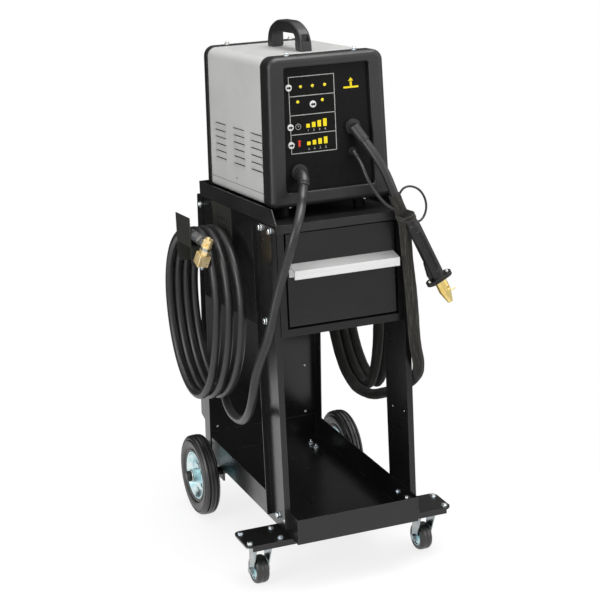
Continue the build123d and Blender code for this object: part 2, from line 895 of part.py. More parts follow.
gland_h = recess_low_h + gland_up
neck_d = rear_wall_d + gland_t
mains_gland = rod_y(gland_r, gland_x, rear_wall_d, neck_d, gland_h)
mains_gland += rod_y(gland_neck_r, gland_x, neck_d, neck_d + gland_neck, gland_h)
mains_gland = lean(mains_gland)

# Transformer and control board inside the case
pan_floor_h = case_low_h + cover_inset + cover_t
core_d0 = case_front_d + core_set
core_d1 = core_d0 + core_len
core_top_h = pan_floor_h + core_h
window_out = core_w / 2 - core_limb
core = block(-core_w / 2, core_w / 2, core_d0, core_d1, pan_floor_h, core_top_h)
for side in (-1, 1):
    core -= block(
        side * core_limb,
        side * window_out,
        core_d0 - 1.0,
        core_d1 + 1.0,
        pan_floor_h + core_yoke,
        core_top_h - core_yoke,
    )
transformer_core = lean(core)
winding_half = window_out - winding_fit
winding = block(
    -winding_half,
    winding_half,
    core_d0 - winding_out,
    core_d1 + winding_out,
    pan_floor_h + core_yoke + winding_fit,
    core_top_h - core_yoke - winding_fit,
)
winding = fillet(winding.edges().filter_by(Axis.Z), winding_round)
limb_gap = core_limb + winding_fit
winding -= block(
    -limb_gap,
    limb_gap,
    core_d0 - winding_fit,
    core_d1 + winding_fit,
    pan_floor_h,
    core_top_h,
)
transformer_winding = lean(winding)
board_d = panel_d + panel_t + board_gap
part_d = board_d + board_t
board_x, board_mid_h = panel_place(board_spot)
board_left = board_x - board_w / 2
board_right = board_x + board_w / 2
board_low = board_mid_h - board_h / 2
board_high = board_mid_h + board_h / 2
board = block(board_left, board_right, board_d, part_d, board_low, board_high)
for side_x in (board_left + board_post_left, board_right - board_post_in):
    for post_h in (board_low + board_post_in, board_high - board_post_in):
        board += rod_y(board_post_r, side_x, panel_d + panel_t, board_d, post_h)
relay_x = board_left + relay_left
relay_h = board_low + relay_up
board += block(relay_x, relay_x + relay_w, part_d, part_d + relay_t, relay_h, relay_h + relay_w)
chip_x = board_left + chip_left
chip_low = board_low + chip_up
board += block(chip_x, chip_x + chip_w, part_d, part_d + chip_t, chip_low, chip_low + chip_h)
control_board = lean(board)

# Carry handle and feet
carry_low_h = case_top_h - cover_inset
carry_top_h = case_top_h + carry_rise
carry_back_d = carry_front_d + carry_len
carry_shoulder_h = carry_top_h - carry_shoulder
carry_shape = poly(
    (carry_front_d, carry_low_h),
    (carry_front_d + carry_lean, carry_shoulder_h),
    (carry_front_d + carry_arch, carry_top_h),
    (carry_back_d - carry_arch, carry_top_h),
    (carry_back_d - carry_lean, carry_shoulder_h),
    (carry_back_d, carry_low_h),
)
carry_rows = carry_shape.vertices().group_by(Axis.Y)
carry_shape = fillet(carry_rows[-1], carry_top_round)
carry_bends = carry_shape.vertices().filter_by(lambda v: abs(v.Y - carry_shoulder_h) < 0.01)
carry_shape = fillet(carry_bends, carry_round)
window_low = carry_low_h - carry_leg
window_top = carry_top_h - carry_bar
window_d0 = carry_front_d + carry_leg
window_d1 = carry_back_d - carry_leg
window_shape = poly(
    (window_d0, window_low),
    (window_d0, window_top),
    (window_d1, window_top),
    (window_d1, window_low),
)
window_shape = fillet(window_shape.vertices().group_by(Axis.Y)[-1], carry_window_round)
carry = plank(carry_shape, -carry_w / 2, carry_w / 2)
carry = fillet(carry.edges().filter_by(lambda e: abs(abs(e.center().X) - carry_w / 2) < 0.01), carry_edge)
carry -= plank(window_shape, -carry_w, carry_w)
carry &= block(-carry_w, carry_w, 0, case_back_d, carry_low_h, carry_top_h)
pocket = block(
    -pocket_w / 2,
    pocket_w / 2,
    carry_front_d - pocket_deep,
    carry_front_d + pocket_deep,
    case_top_h + pocket_low,
    case_top_h + pocket_top,
)
carry -= fillet(pocket.edges().filter_by(Axis.Y), 3.0)
carry_handle = lean(carry)
feet = []
foot_low_h = tray_floor_h + sheet
foot_top_h = case_low_h + cover_inset
for foot_d in (bezel_back_d + feet_set, bezel_rear_d - feet_set):
    for side in (-1, 1):
        foot_x = side * (case_half - feet_in)
        feet.append(lean(rod_z(feet_r, foot_x, foot_d, foot_low_h, foot_top_h)))
welder_feet = Compound(feet)

# Cable boots on the control panel
ring_d = panel_d - boot_ring_t
boot_start_d = ring_d - 2 * sheet


def cable_boot(port, way, ring_r, r0, r1, length):
    """Ring on the panel with a tapered boot that droops along the given way."""
    x, h = panel_place(port)
    start = Vector(x, boot_start_d, h)
    aim = Vector(way).normalized()
    shape = rod_y(ring_r, x, ring_d, panel_d, h)
    shape += rod_y(ring_r - boot_ring_step, x, boot_start_d + sheet, ring_d, h)
    cone = Cone(r0, r1, length, align=(Align.CENTER, Align.CENTER, Align.MIN))
    shape += Plane(origin=start, z_dir=aim).location * cone
    tip = start + aim * length
    return lean(shape), up_point(tip.X, tip.Y, tip.Z), up_dir(aim.X, aim.Y, aim.Z)


def elbow_boot(port, way, step, ring_r, r):
    """Ring on the panel with a bent boot that ends one step away."""
    x, h = panel_place(port)
    start = Vector(x, ring_d + 1.0, h)
    bend = TangentArc(start, start + Vector(step), tangent=way)
    shape = rod_y(ring_r, x, ring_d, panel_d, h)
    shape += sweep(Plane(origin=start, z_dir=bend % 0) * Circle(r), path=bend)
    tip = bend @ 1
    aim = bend % 1
    return lean(shape), up_point(tip.X, tip.Y, tip.Z), up_dir(aim.X, aim.Y, aim.Z)


earth_out_way = (0.15, -0.97, -0.2)
earth_step = (-5.1, -31.0, -24.0)
gun_out_way = (0.38, -0.50, -0.78)
control_out_way = (0.10, -0.75, -0.65)
earth_boot, earth_tip, earth_way = elbow_boot(
    earth_port,
    earth_out_way,
    earth_step,
    earth_ring_r,
    earth_boot_r,
)
gun_boot, gun_tip, gun_way = cable_boot(
    gun_port,
    gun_out_way,
    gun_ring_r,
    gun_boot_r,
    gun_boot_tip_r,
    gun_boot_len,
)
control_boot, control_tip, control_way = cable_boot(
    control_port,
    control_out_way,
    control_ring_r,
    control_boot_r,
    control_boot_tip_r,
    control_boot_len,
)
cable_boots = Compound([earth_boot, gun_boot, control_boot])


def bend_radii(points):
    """Bend radius for each inner point of a cord."""
    radii = []
    for i in range(1, len(points) - 1):
        first = points[i] - points[i - 1]
        second = points[i + 1] - points[i]
        turn = math.radians(first.get_angle(second))
        shorter = min(first.length, second.length)
        radii.append(0.45 * shorter / math.tan(turn / 2))
    return radii


def cord(name, points, dia):
    """Tube of straight runs and tangent arcs through hand chosen points."""
    points = [Vector(p) for p in points]
    radii = bend_radii(points)
    path = FilletPolyline(*points, radius=radii)
    ring = Plane(origin=path @ 0, z_dir=path % 0) * Circle(dia / 2)
    print(name, "least bend", round(min(radii), 1), "diameters", round(min(radii) / dia, 2))
    return sweep(ring, path=path)


def biarc(p0, t0, p1, t1):
    """Two tangent arcs between two points with given directions."""
    v = p1 - p0
    t = t0 + t1
    k = 2 * (1 - t0.dot(t1))
    d = (-v.dot(t) + math.sqrt(v.dot(t) ** 2 + k * v.dot(v))) / k
    q0 = p0 + t0 * d
    q1 = p1 - t1 * d
    joint = (q0 + q1) * 0.5
    return [TangentArc(p0, joint, tangent=t0), TangentArc(joint, p1, tangent=(q1 - q0).normalized())]


def coil(name, spots, ways, dia):
    """One unbroken tube through the quarter points of its loops."""
    first = spots[0] - ways[0] * dia
    last = spots[-1] + ways[-1] * dia
    edges = [Line(first, spots[0])]
    for i in range(len(spots) - 1):
        edges += biarc(spots[i], ways[i], spots[i + 1], ways[i + 1])
    edges.append(Line(spots[-1], last))
    path = Wire(edges)
    ring = Plane(origin=first, z_dir=ways[0]) * Circle(dia / 2)
    dots = []
    for edge in edges:
        dots += [edge @ (i / 8) for i in range(8)]
    gaps = []
    for i in range(len(dots)):
        for j in range(i + 24, len(dots)):
            gaps.append((dots[i] - dots[j]).length - dia)
    print(name, "least gap between loops", round(min(gaps), 2))
    return sweep(ring, path=path), first, last


def loop_points(side, x0, pitch, quarters, low, rear, top, front, grow_rear, grow_front):
    """Quarter points and directions of hanging loops, low point first."""
    length = 2.2 * ((rear[0] - front[0]) + (top[1] - low[1])) / 2 * 1.4
    slip = side * pitch / length
    spots = []
    ways = []
    for k in range(quarters + 1):
        x = side * (x0 + pitch * k / 4)
        turn = k // 4
        place = (low, rear, top, front)[k % 4]
        y = place[0]
        if k % 4 == 1:
            y += grow_rear * turn
        if k % 4 == 3:
            y += grow_front * turn
        way = ((slip, 1, 0), (slip, 0, 1), (slip, -1, 0), (slip, 0, -1))[k % 4]
        spots.append(Vector(x, y, place[1]))
        ways.append(Vector(way).normalized())
    return spots, ways


# Earth cable, its coil on the left hook, and the clamp at its end
arm_top = up_point(0, hook_front_d + hook_d / 2, hook_arm_h)
earth_top_z = arm_top.Z + earth_dia / 2 + 15.7
earth_x0 = face_x + earth_dia / 2 - 1.0
earth_pitch = earth_dia + 0.6
earth_spots, earth_ways = loop_points(
    -1,
    earth_x0,
    earth_pitch,
    14,
    (134.0, 345.0),
    (258.0, 560.0),
    (arm_top.Y - 19.0, earth_top_z),
    (-68.0, 590.0),
    10.0,
    26.0,
)
earth_coil, earth_in, earth_out = coil("earth_coil", earth_spots, earth_ways, earth_dia)
earth_points = [
    earth_tip,
    earth_tip + earth_way * 27.0,
    up_point(-102.5, -17.0, 257.0),
    up_point(-125.5, -29.0, 233.0),
    up_point(-146.0, -36.5, 206.0),
    up_point(-158.5, -40.5, 172.0),
    up_point(-169.0, -45.5, 136.0),
    (-181.0, -279.0, 690.0),
    (-193.0, -267.0, 638.0),
    (-203.0, -250.0, 583.0),
    (-210.0, -228.0, 530.0),
    (-213.0, -204.0, 474.0),
    (-211.0, -171.0, 421.0),
    (-205.0, -135.0, 382.0),
    (-197.5, -82.0, 351.0),
    (-184.0, -22.0, 336.0),
    (-167.0, 38.0, 341.5),
    earth_in - earth_ways[0] * 26.0,
    earth_in,
]
earth_cable = cord("earth_cable", earth_points, earth_dia)
lug_way = earth_ways[-1]
eye_way = Vector(0.20, -0.33, 0.907).normalized()
droop = Vector(0, -eye_way.Z, eye_way.Y).normalized()
eye_centre = earth_out + lug_way * lug_len + droop * lug_reach
eye_plane = Plane(origin=eye_centre, x_dir=droop, z_dir=eye_way)
lug_barrel = Plane(origin=earth_out, z_dir=lug_way).location * Cylinder(
    earth_dia / 2 + lug_wall, lug_len, align=(Align.CENTER, Align.CENTER, Align.MIN)
)
tongue = block(-lug_reach - eye_r, 0, -tongue_w / 2, tongue_w / 2, -eye_t / 2, eye_t / 2)
tongue += rod_z(eye_r, 0, 0, -eye_t / 2, eye_t / 2)
tongue -= rod_z(stud_r, 0, 0, -eye_t, eye_t)
earth_lug = lug_barrel + eye_plane.location * tongue
collar_low = -eye_t / 2 - clamp_collar
clamp_low = collar_low - clamp_len
collar_shape = RegularPolygon(clamp_collar_r, 6)
clamp = Pos(0, 0, collar_low) * extrude(collar_shape, amount=clamp_collar)
jaw = Pos(0, 0, clamp_low) * extrude(RectangleRounded(clamp_w, clamp_w, 2.0), amount=clamp_len)
clamp += chamfer(jaw.edges().group_by(Axis.Z)[0], 2.0)
clamp += rod_z(clamp_tip_r, 0, 0, clamp_low - clamp_tip, clamp_low)
clamp += rod_z(stud_r, 0, 0, -eye_t / 2, eye_t / 2 + clamp_stud)
earth_clamp = eye_plane.location * clamp
nut_low = eye_t / 2 + side_gap
nut_top = nut_low + nut_len
thumb = rod_z(nut_r, 0, 0, nut_low, nut_low + nut_base)
thumb += rod_z(nut_neck_r, 0, 0, nut_low + nut_base, nut_top)
thumb += block(-nut_wing, nut_wing, -nut_wing_t / 2, nut_wing_t / 2, nut_low + nut_wing_low, nut_top)
thumb -= rod_z(stud_r + turn_gap, 0, 0, nut_low - 1.0, nut_top + 1.0)
thumb_nut = eye_plane.location * thumb

# Sleeved gun lead and its coil on the right hook
sleeve_x0 = face_x + sleeve_dia / 2 - 3.0
sleeve_pitch = sleeve_dia + 0.6
sleeve_top_z = arm_top.Z + sleeve_dia / 2 + 20.7
gun_spots, gun_ways = loop_points(
    1,
    sleeve_x0,
    sleeve_pitch,
    10,
    (56.0, 331.0),
    (216.0, 570.0),
    (arm_top.Y - 10.0, sleeve_top_z),
    (-34.0, 560.0),
    10.0,
    10.0,
)
gun_coil, gun_in, gun_out = coil("gun_coil", gun_spots, gun_ways, sleeve_dia)
sleeve_upper = Vector(131.0, -25.0, 243.5)
sleeve_lower = Vector(144.0, -24.5, 212.0)
sleeve_top = up_point(121.5, -25.5, 270.0)
sleeve_next = up_point(sleeve_upper.X, sleeve_upper.Y, sleeve_upper.Z)
sleeve_way = (sleeve_next - sleeve_top).normalized()
gun_points = [
    gun_tip,
    gun_tip + gun_way * 26.0,
    up_point(94.0, -10.5, 345.0),
    up_point(104.0, -19.5, 321.0),
    sleeve_top - sleeve_way * 26.0,
    sleeve_top,
]
gun_cable = cord("gun_cable", gun_points, gun_dia)
sleeve_points = [
    sleeve_top,
    sleeve_next,
    up_point(sleeve_lower.X, sleeve_lower.Y, sleeve_lower.Z),
    up_point(146.5, -24.5, 178.0),
    up_point(149.0, -24.5, 132.0),
    up_point(153.5, -24.5, 82.0),
    up_point(156.0, -24.0, 26.0),
    up_point(158.5, -22.5, -34.0),
    up_point(164.0, -20.5, -82.0),
    up_point(174.5, -13.0, -122.0),
    up_point(183.0, 11.0, -158.0),
    (186.0, -190.0, 414.0),
    (182.0, -127.0, 376.0),
    (174.5, -72.0, 350.0),
    (166.0, -34.0, 334.5),
    gun_in - gun_ways[0] * 30.0,
    gun_in,
]
gun_sleeve = cord("gun_sleeve", sleeve_points, sleeve_dia)
control_points = [
    control_tip,
    control_tip + control_way * 22.0,
    up_point(64.0, -8.0, 313.0),
    up_point(73.0, -18.0, 288.0),
    up_point(88.0, -24.0, 264.0),
    up_point(104.0, -26.0, 247.0),
    up_point(122.5, -25.5, 237.0),
]
control_cable = cord("control_cable", control_points, control_dia)

# Gun, built along its own axis and hung in the tie
gun_axis = Vector(0.42, -0.02, -0.907).normalized()
gun_side = Vector(0.9065, 0.02, 0.4195)
gun_start = Vector(147.5, -55.0, 208.0)
gun_frame = Plane(origin=gun_start, x_dir=gun_side, z_dir=gun_axis)
body = extrude(RectangleRounded(gun_w, gun_deep, gun_round), amount=gun_len)
body = fillet(body.edges().group_by(Axis.Z)[0], gun_round / 2)
tail_r = sleeve_dia / 2 + 0.6
tail = Cone(tail_r - 0.2, tail_r, gun_tail + 2.0, align=(Align.CENTER, Align.CENTER, Align.MIN))
body += Pos(0, 0, -gun_tail) * tail
for side in (-1, 1):
    groove_place = Pos(0, side * gun_deep / 2, gun_len / 2)
    body -= groove_place * Box(gun_groove_w, 3.0, gun_len - 2 * gun_groove_in)
body += Pos(0, 0, gun_len) * extrude(SlotOverall(gun_flange_w, gun_flange_deep), amount=gun_flange_t)
trigger_low = gun_len - trigger_end - trigger_len
trigger_high = gun_len - trigger_end
trigger_back = -gun_w / 2 + trigger_in
pocket_x = trigger_back + trigger_travel + trigger_play
pocket_half = trigger_w / 2 + trigger_play
body -= block(
    -gun_w,
    pocket_x,
    -pocket_half,
    pocket_half,
    trigger_low - trigger_play,
    trigger_high + trigger_play,
)
gun_body = lean(gun_frame.location * body)
nose_z = gun_len + gun_flange_t
nose_shape = RectangleRounded(nose_w, nose_deep, nose_round)
nose_mid = nose_z + nose_len - nose_taper
nose = Pos(0, 0, nose_z) * extrude(nose_shape, amount=nose_len - nose_taper)
nose += loft([
    Pos(0, 0, nose_mid) * nose_shape,
    Pos(0, 0, nose_z + nose_len) * RectangleRounded(nose_tip_w, nose_tip_deep, nose_tip_round),
])
nose -= rod_y(nose_screw_r, nose_w / 4, nose_deep / 4, nose_deep, nose_z + 0.8 * nose_w)
nose += rod_x(pin_r, nose_w / 4, pin_out, 0, nose_mid + nose_w / 4)
gun_nose = lean(gun_frame.location * nose)
trigger_shape = poly(
    (trigger_back, trigger_low),
    (-gun_w / 2 - 1.0, trigger_low),
    (-gun_w / 2 - trigger_out, trigger_high - trigger_out),
    (-gun_w / 2 - trigger_out + 1.0, trigger_high),
    (trigger_back, trigger_high),
)
trigger = slab(trigger_shape, -trigger_w / 2, trigger_w / 2)
gun_trigger = lean(gun_frame.location * trigger)

# Fabric tie round the sleeve and the tail of the gun
tie_share = (sleeve_upper.Z - tie_h) / (sleeve_upper.Z - sleeve_lower.Z)
tie_a = sleeve_upper + (sleeve_lower - sleeve_upper) * tie_share
tie_b = gun_start - gun_axis * ((tie_h - gun_start.Z) / -gun_axis.Z)
tie_way = Vector(-0.405, 0.01, 0.914)
tie_frame = Plane(origin=(tie_a + tie_b) * 0.5, x_dir=tie_b - tie_a, z_dir=tie_way)
tie_len = (tie_b - tie_a).length
tie_in = sleeve_dia / 2 + tie_gap
tie_out = tie_in + sheet
tie_band = extrude(SlotOverall(tie_len + 2 * tie_out, 2 * tie_out), amount=tie_w / 2, both=True)
tie_band -= extrude(SlotOverall(tie_len + 2 * tie_in, 2 * tie_in), amount=tie_w, both=True)
cable_strap = lean(tie_frame.location * tie_band)

# Thin trigger lead that loops from the sleeve to the tail of the gun
lead_end = (tie_a + tie_b) * 0.5 + Vector(0.914, 0, 0.405) * (tie_out - 1.0)
lead_points = [
    up_point(133.0, -23.0, 266.0),
    (139.0, -241.5, 889.0),
    (151.0, -243.0, 896.0),
    (167.0, -242.0, 894.0),
    (185.0, -240.0, 884.0),
    (198.0, -240.0, 865.0),
    (201.0, -243.0, 843.0),
    (193.0, -247.0, 824.0),
    (179.0, -252.0, 815.0),
    (166.0, -257.0, 818.5),
    up_point(lead_end.X, lead_end.Y, lead_end.Z),
]
trigger_lead = cord("trigger_lead", lead_points, lead_dia)

# Bolt heads, nuts and screws
heads = []
post_bolts = (
    (30.0, post_top_h - post_bolt_drop),
    (86.0, post_top_h - post_bolt_drop),
    (82.0, 0.0),
    (17.0, post_low_h + post_bolt_rise),
    (65.0, post_low_h + post_bolt_rise),
)
for bolt_in, bolt_h in post_bolts:
    place = up_point(face_x, post_front_d + bolt_in, bolt_h)
    head = stud(place, (1, 0, 0), head_r, head_t)
    heads += [head, flip(head)]
flange_mid_y = tray_back_y - panel_flange / 2
panel_bolts = (
    panel_bottom_z + panel_bolt_low,
    panel_top_z - panel_bolt_mid,
    panel_top_z - panel_bolt_top,
)
for bolt_z in panel_bolts:
    head = stud((face_x, flange_mid_y, bolt_z), (1, 0, 0), head_r, head_t)
    heads += [head, flip(head)]
for dx in (-caster_bolt_x, caster_bolt_x):
    for dy in (-caster_bolt_y, caster_bolt_y):
        place = (caster_x + dx, caster_y + dy, tray_floor_z)
        head = stud(place, (0, 0, 1), head_r + 1.0, head_t + 1.0)
        heads += [head, flip(head)]
for dy in (-axle_bolt_half, axle_bolt_half):
    place = (bracket_x - axle_bolt_in, axle_y + dy, tray_floor_z + sheet)
    head = stud(place, (0, 0, 1), head_r + 1.0, 2 * head_t)
    heads += [head, flip(head)]
nut_in_x = hub_out_x + side_gap
wheel_nut = rod_x(hub_r - 2.0, nut_in_x, axle_end_x - 2.0, axle_y, axle_z)
wheel_nut -= rod_x(axle_r, hub_out_x, axle_end_x + 2.0, axle_y, axle_z)
heads += [wheel_nut, flip(wheel_nut)]
for screw_d in (bezel_back_d - top_screw_front, bezel_rear_d + top_screw_back):
    place = (case_half - top_screw_in, screw_d, case_top_h)
    screw = stud(place, (0, 0, 1), top_screw_r, top_screw_t)
    heads += [lean(screw), lean(flip(screw))]
for side in (-1, 1):
    screw = stud((side * gun_screw_x, 0, nose_z), (0, 0, 1), gun_screw_r, gun_screw_t)
    heads.append(lean(gun_frame.location * screw))
fasteners = Compound(heads)

nodes = {
    "lower_tray": lower_tray,
    "rear_panel": rear_panel,
    "cord_bracket": cord_bracket,
    "left_front_post": left_front_post,
    "right_front_post": right_front_post,
    "caster_bar": caster_bar,
    "top_tray": top_tray,
    "drawer_cabinet": drawer_cabinet,
    "cabinet_runners": cabinet_runners,
    "left_cable_hook": left_cable_hook,
    "right_cable_hook": right_cable_hook,
    "axle": axle,
    "axle_brackets": axle_brackets,
    "fasteners": fasteners,
    "drawer_box": drawer_box,
    "drawer_front": drawer_front,
    "drawer_handle": drawer_handle,
    "drawer_runners": drawer_runners,
    "left_tyre": left_tyre,
    "left_wheel_disc": left_wheel_disc,
    "right_tyre": right_tyre,
    "right_wheel_disc": right_wheel_disc,
    "caster_plates": caster_plates,
    "left_caster_fork": left_caster_fork,
    "right_caster_fork": right_caster_fork,
    "left_caster_wheel": left_caster_wheel,
    "right_caster_wheel": right_caster_wheel,
    "base_pan": base_pan,
    "side_cover": side_cover,
    "front_bezel": front_bezel,
    "rear_bezel": rear_bezel,
    "control_panel": control_panel,
    "back_panel": back_panel,
    "carry_handle": carry_handle,
    "welder_feet": welder_feet,
    "mains_gland": mains_gland,
    "cable_boots": cable_boots,
    "indicator_lamps": indicator_lamps,
    "transformer_core": transformer_core,
    "transformer_winding": transformer_winding,
    "control_board": control_board,
    "earth_cable": earth_cable,
    "earth_coil": earth_coil,
    "earth_lug": earth_lug,
    "earth_clamp": earth_clamp,
    "thumb_nut": thumb_nut,
    "gun_cable": gun_cable,
    "control_cable": control_cable,
    "gun_sleeve": gun_sleeve,
    "gun_coil": gun_coil,
    "trigger_lead": trigger_lead,
    "cable_strap": cable_strap,
    "gun_body": gun_body,
    "gun_nose": gun_nose,
    "gun_trigger": gun_trigger,
}
nodes.update(buttons)
for name, shape in nodes.items():
    export_step(shape, "parts/" + name + ".step")
    box = shape.bounding_box()
    size = [round(v, 1) for v in (box.min.X, box.max.X, box.min.Y, box.max.Y, box.min.Z, box.max.Z)]
    print(name, len(shape.solids()), size)
print("eye", tuple(eye_centre), tuple(eye_way))
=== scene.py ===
import json
from math import cos, exp, pi, radians, sin, tau

import bmesh
import bpy
from mathutils import Matrix, Vector, noise


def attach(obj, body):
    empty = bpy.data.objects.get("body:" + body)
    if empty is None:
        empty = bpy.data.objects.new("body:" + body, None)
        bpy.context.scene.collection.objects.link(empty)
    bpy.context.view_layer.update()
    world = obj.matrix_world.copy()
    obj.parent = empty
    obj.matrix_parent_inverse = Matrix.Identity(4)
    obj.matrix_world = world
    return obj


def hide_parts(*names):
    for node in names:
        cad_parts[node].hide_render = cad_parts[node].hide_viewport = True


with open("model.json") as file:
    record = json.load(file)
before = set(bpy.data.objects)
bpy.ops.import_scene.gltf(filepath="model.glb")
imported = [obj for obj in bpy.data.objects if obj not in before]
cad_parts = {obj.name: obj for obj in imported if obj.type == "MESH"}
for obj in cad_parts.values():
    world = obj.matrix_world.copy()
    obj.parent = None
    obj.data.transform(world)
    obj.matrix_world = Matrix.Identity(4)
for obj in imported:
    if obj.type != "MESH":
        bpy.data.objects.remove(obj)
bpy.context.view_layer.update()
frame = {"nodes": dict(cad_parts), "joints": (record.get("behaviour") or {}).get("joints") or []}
nodes = frame["nodes"]
scene = bpy.context.scene
scene.view_settings.view_transform = "Standard"

MM = 0.001
TILT = radians(4.4)
UPPER_Y = -238.1
UPPER_Z = 609.4
# The frame of the upper cart, which leans back about the line at UPPER_Y and UPPER_Z
LEAN = Matrix.Translation((0, UPPER_Y, UPPER_Z)) @ Matrix.Rotation(-TILT, 4, "X")
METRES = Matrix.Diagonal((MM, MM, MM, 1))
JOINTS = {joint["name"]: joint for joint in frame["joints"]}


def at(x, y, z):
    """Model point in metres from millimetres."""
    return Vector((x, y, z)) * MM


def up(x, d, h):
    """Model point in metres of a place in the leaning upper cart, in millimetres."""
    return (LEAN @ Vector((x, d, h))) * MM


def pivot(joint):
    """A joint's place in millimetres."""
    return Vector(JOINTS[joint]["pos_m"]) / MM


def add_object(name, data):
    obj = bpy.data.objects.new(name, data)
    scene.collection.objects.link(obj)
    return obj


def angles(count):
    """Even steps once round a circle."""
    return [tau * k / count for k in range(count)]


# Camera

CAMERA_TURN = radians(22.9133)
CAMERA_PITCH = radians(17.6913)
CAMERA_ROLL = radians(-1.0218)
CAMERA_SPOT = at(-1523.35, -3593.5, 1831.25)
CAMERA_LENS = 105.30
CAMERA_SENSOR = 36.0


def place_camera():
    """The photograph's view, as a place, a way ahead and a roll about it."""
    turn, pitch, roll = CAMERA_TURN, CAMERA_PITCH, CAMERA_ROLL
    ahead = Vector((sin(turn) * cos(pitch), cos(turn) * cos(pitch), -sin(pitch)))
    flat_right = ahead.cross(Vector((0, 0, 1))).normalized()
    flat_up = flat_right.cross(ahead)
    right = flat_right * cos(roll) + flat_up * sin(roll)
    top = flat_up * cos(roll) - flat_right * sin(roll)
    data = bpy.data.cameras.new("camera")
    data.lens = CAMERA_LENS
    data.sensor_width = CAMERA_SENSOR
    data.clip_end = 40.0
    cam = add_object("camera", data)
    spin = Matrix((right, top, -ahead)).transposed().to_4x4()
    cam.matrix_world = Matrix.Translation(CAMERA_SPOT) @ spin
    scene.camera = cam


place_camera()


# Materials

class Nodes:
    """Short ways to add nodes to a tree."""

    def __init__(self, tree):
        self.tree = tree

    def feed(self, socket, value):
        if isinstance(value, bpy.types.NodeSocket):
            self.tree.links.new(value, socket)
        else:
            socket.default_value = value

    def node(self, kind, inputs=None, **props):
        """A new shader node with its settings; an input is a plain value or a socket to link."""
        made = self.tree.nodes.new("ShaderNode" + kind)
        for key, value in props.items():
            setattr(made, key, value)
        for name, value in (inputs or {}).items():
            self.feed(made.inputs[name], value)
        return made

    def span(self, value, low, high, out_low=0.0, out_high=1.0, **props):
        """The range from low to high laid onto another."""
        inputs = {"Value": value, "From Min": low, "From Max": high, "To Min": out_low, "To Max": out_high}
        return self.node("MapRange", inputs, **props).outputs["Result"]

    def math(self, operation, a, b=0.0):
        return self.node("Math", {0: a, 1: b}, operation=operation).outputs["Value"]

    def vector_math(self, operation, a, b=(0, 0, 0)):
        return self.node("VectorMath", {0: a, 1: b}, operation=operation).outputs["Value"]


SHADER_SOCKETS = {
    "metal": "Metallic", "specular": "Specular IOR Level", "coat": "Coat Weight",
    "coat_rough": "Coat Roughness", "sheen": "Sheen Weight", "sheen_rough": "Sheen Roughness",
    "ior": "IOR", "clear": "Transmission Weight",
}


class Finish(Nodes):
    """A Principled material whose colour, roughness and bump come from nodes."""

    def __init__(self, name, **fixed):
        self.mat = bpy.data.materials.new(name)
        self.mat.use_nodes = True
        super().__init__(self.mat.node_tree)
        self.shader = self.tree.nodes["Principled BSDF"]
        for key, value in fixed.items():
            self.shader.inputs[SHADER_SOCKETS[key]].default_value = value
        self.normal = None

    def coords(self, stretch=(1, 1, 1), uv=False):
        source = self.node("TexCoord").outputs["UV" if uv else "Object"]
        return self.node("Mapping", {"Scale": stretch, "Vector": source}).outputs["Vector"]

    def noise(self, scale, detail=3.0, stretch=(1, 1, 1), rough=0.55, uv=False):
        inputs = {"Scale": scale, "Detail": detail, "Roughness": rough, "Vector": self.coords(stretch, uv)}
        return self.node("TexNoise", inputs).outputs["Fac"]

    def cells(self, scale, stretch=(1, 1, 1)):
        inputs = {"Scale": scale, "Vector": self.coords(stretch)}
        return self.node("TexVoronoi", inputs).outputs["Distance"]

    def middle(self, value, out_low=0.0, out_high=1.0):
        """The middle of a noise, where nearly all of it lies, laid onto a range."""
        return self.span(value, 0.3, 0.7, out_low, out_high)

    def part(self, vector, letter):
        return self.node("SeparateXYZ", {"Vector": vector}).outputs[letter]

    def stripes(self, vector, letter, pitch):
        """A sine wave along one coordinate, with its pitch in metres."""
        return self.math("SINE", self.math("MULTIPLY", self.part(vector, letter), tau / pitch))

    def blend(self, factor, a, b):
        a, b = (v if isinstance(v, bpy.types.NodeSocket) else (*v, 1.0) for v in (a, b))
        return self.node("Mix", {0: factor, 6: a, 7: b}, data_type="RGBA").outputs[2]

    def facing(self):
        return self.node("NewGeometry").outputs["Normal"]

    def rounded(self, radius):
        """The normal with edges rounded to a radius."""
        return self.node("Bevel", {"Radius": radius}, samples=4).outputs["Normal"]

    def bevel(self, radius):
        self.normal = self.rounded(radius)

    def edges(self, radius, width=0.25):
        """Mask that is one on convex and concave edges, from the rounded normal."""
        dot = self.vector_math("DOT_PRODUCT", self.rounded(radius), self.facing())
        return self.span(dot, 0.98, 1.0 - width)

    def upward(self):
        """How far a surface faces up, used to paint shade on upper faces."""
        return self.part(self.facing(), "Z")

    def bump(self, height, strength, depth):
        inputs = {"Strength": strength, "Distance": depth, "Height": height}
        if self.normal is not None:
            inputs["Normal"] = self.normal
        self.normal = self.node("Bump", inputs).outputs["Normal"]

    def colour(self, value):
        self.feed(self.shader.inputs["Base Color"], value)

    def roughness(self, value):
        self.feed(self.shader.inputs["Roughness"], value)

    def done(self):
        if self.normal is not None:
            self.feed(self.shader.inputs["Normal"], self.normal)
        return self.mat


def powder_coat(name, low, high, rough, warm=0.98):
    """Black powder coat, cloudy up close, its sheet edges pale: partly wear, partly painted highlight."""
    f = Finish(name, specular=0.2, coat=0.6, coat_rough=0.2)
    cloud = f.noise(7.0, 4.0)
    tone = f.blend(f.middle(cloud), (low, low, (warm + 0.04) * low), (high, high, warm * high))
    # Pale sheet edges: partly wear, partly a painted highlight where the edges catch light.
    edge_wear_and_painted_light = f.math("MULTIPLY", f.edges(0.0016), f.span(f.noise(38.0, 4.0), 0.4, 0.64, 0.0, 0.8))
    f.colour(f.blend(edge_wear_and_painted_light, tone, (0.12, 0.12, 0.117)))
    f.roughness(f.span(f.noise(24.0, 4.0), 0.25, 0.75, rough, rough + 0.11))
    f.bevel(0.0011)
    f.bump(f.noise(420.0, 2.0), 0.16, 0.0004)
    return f.done()


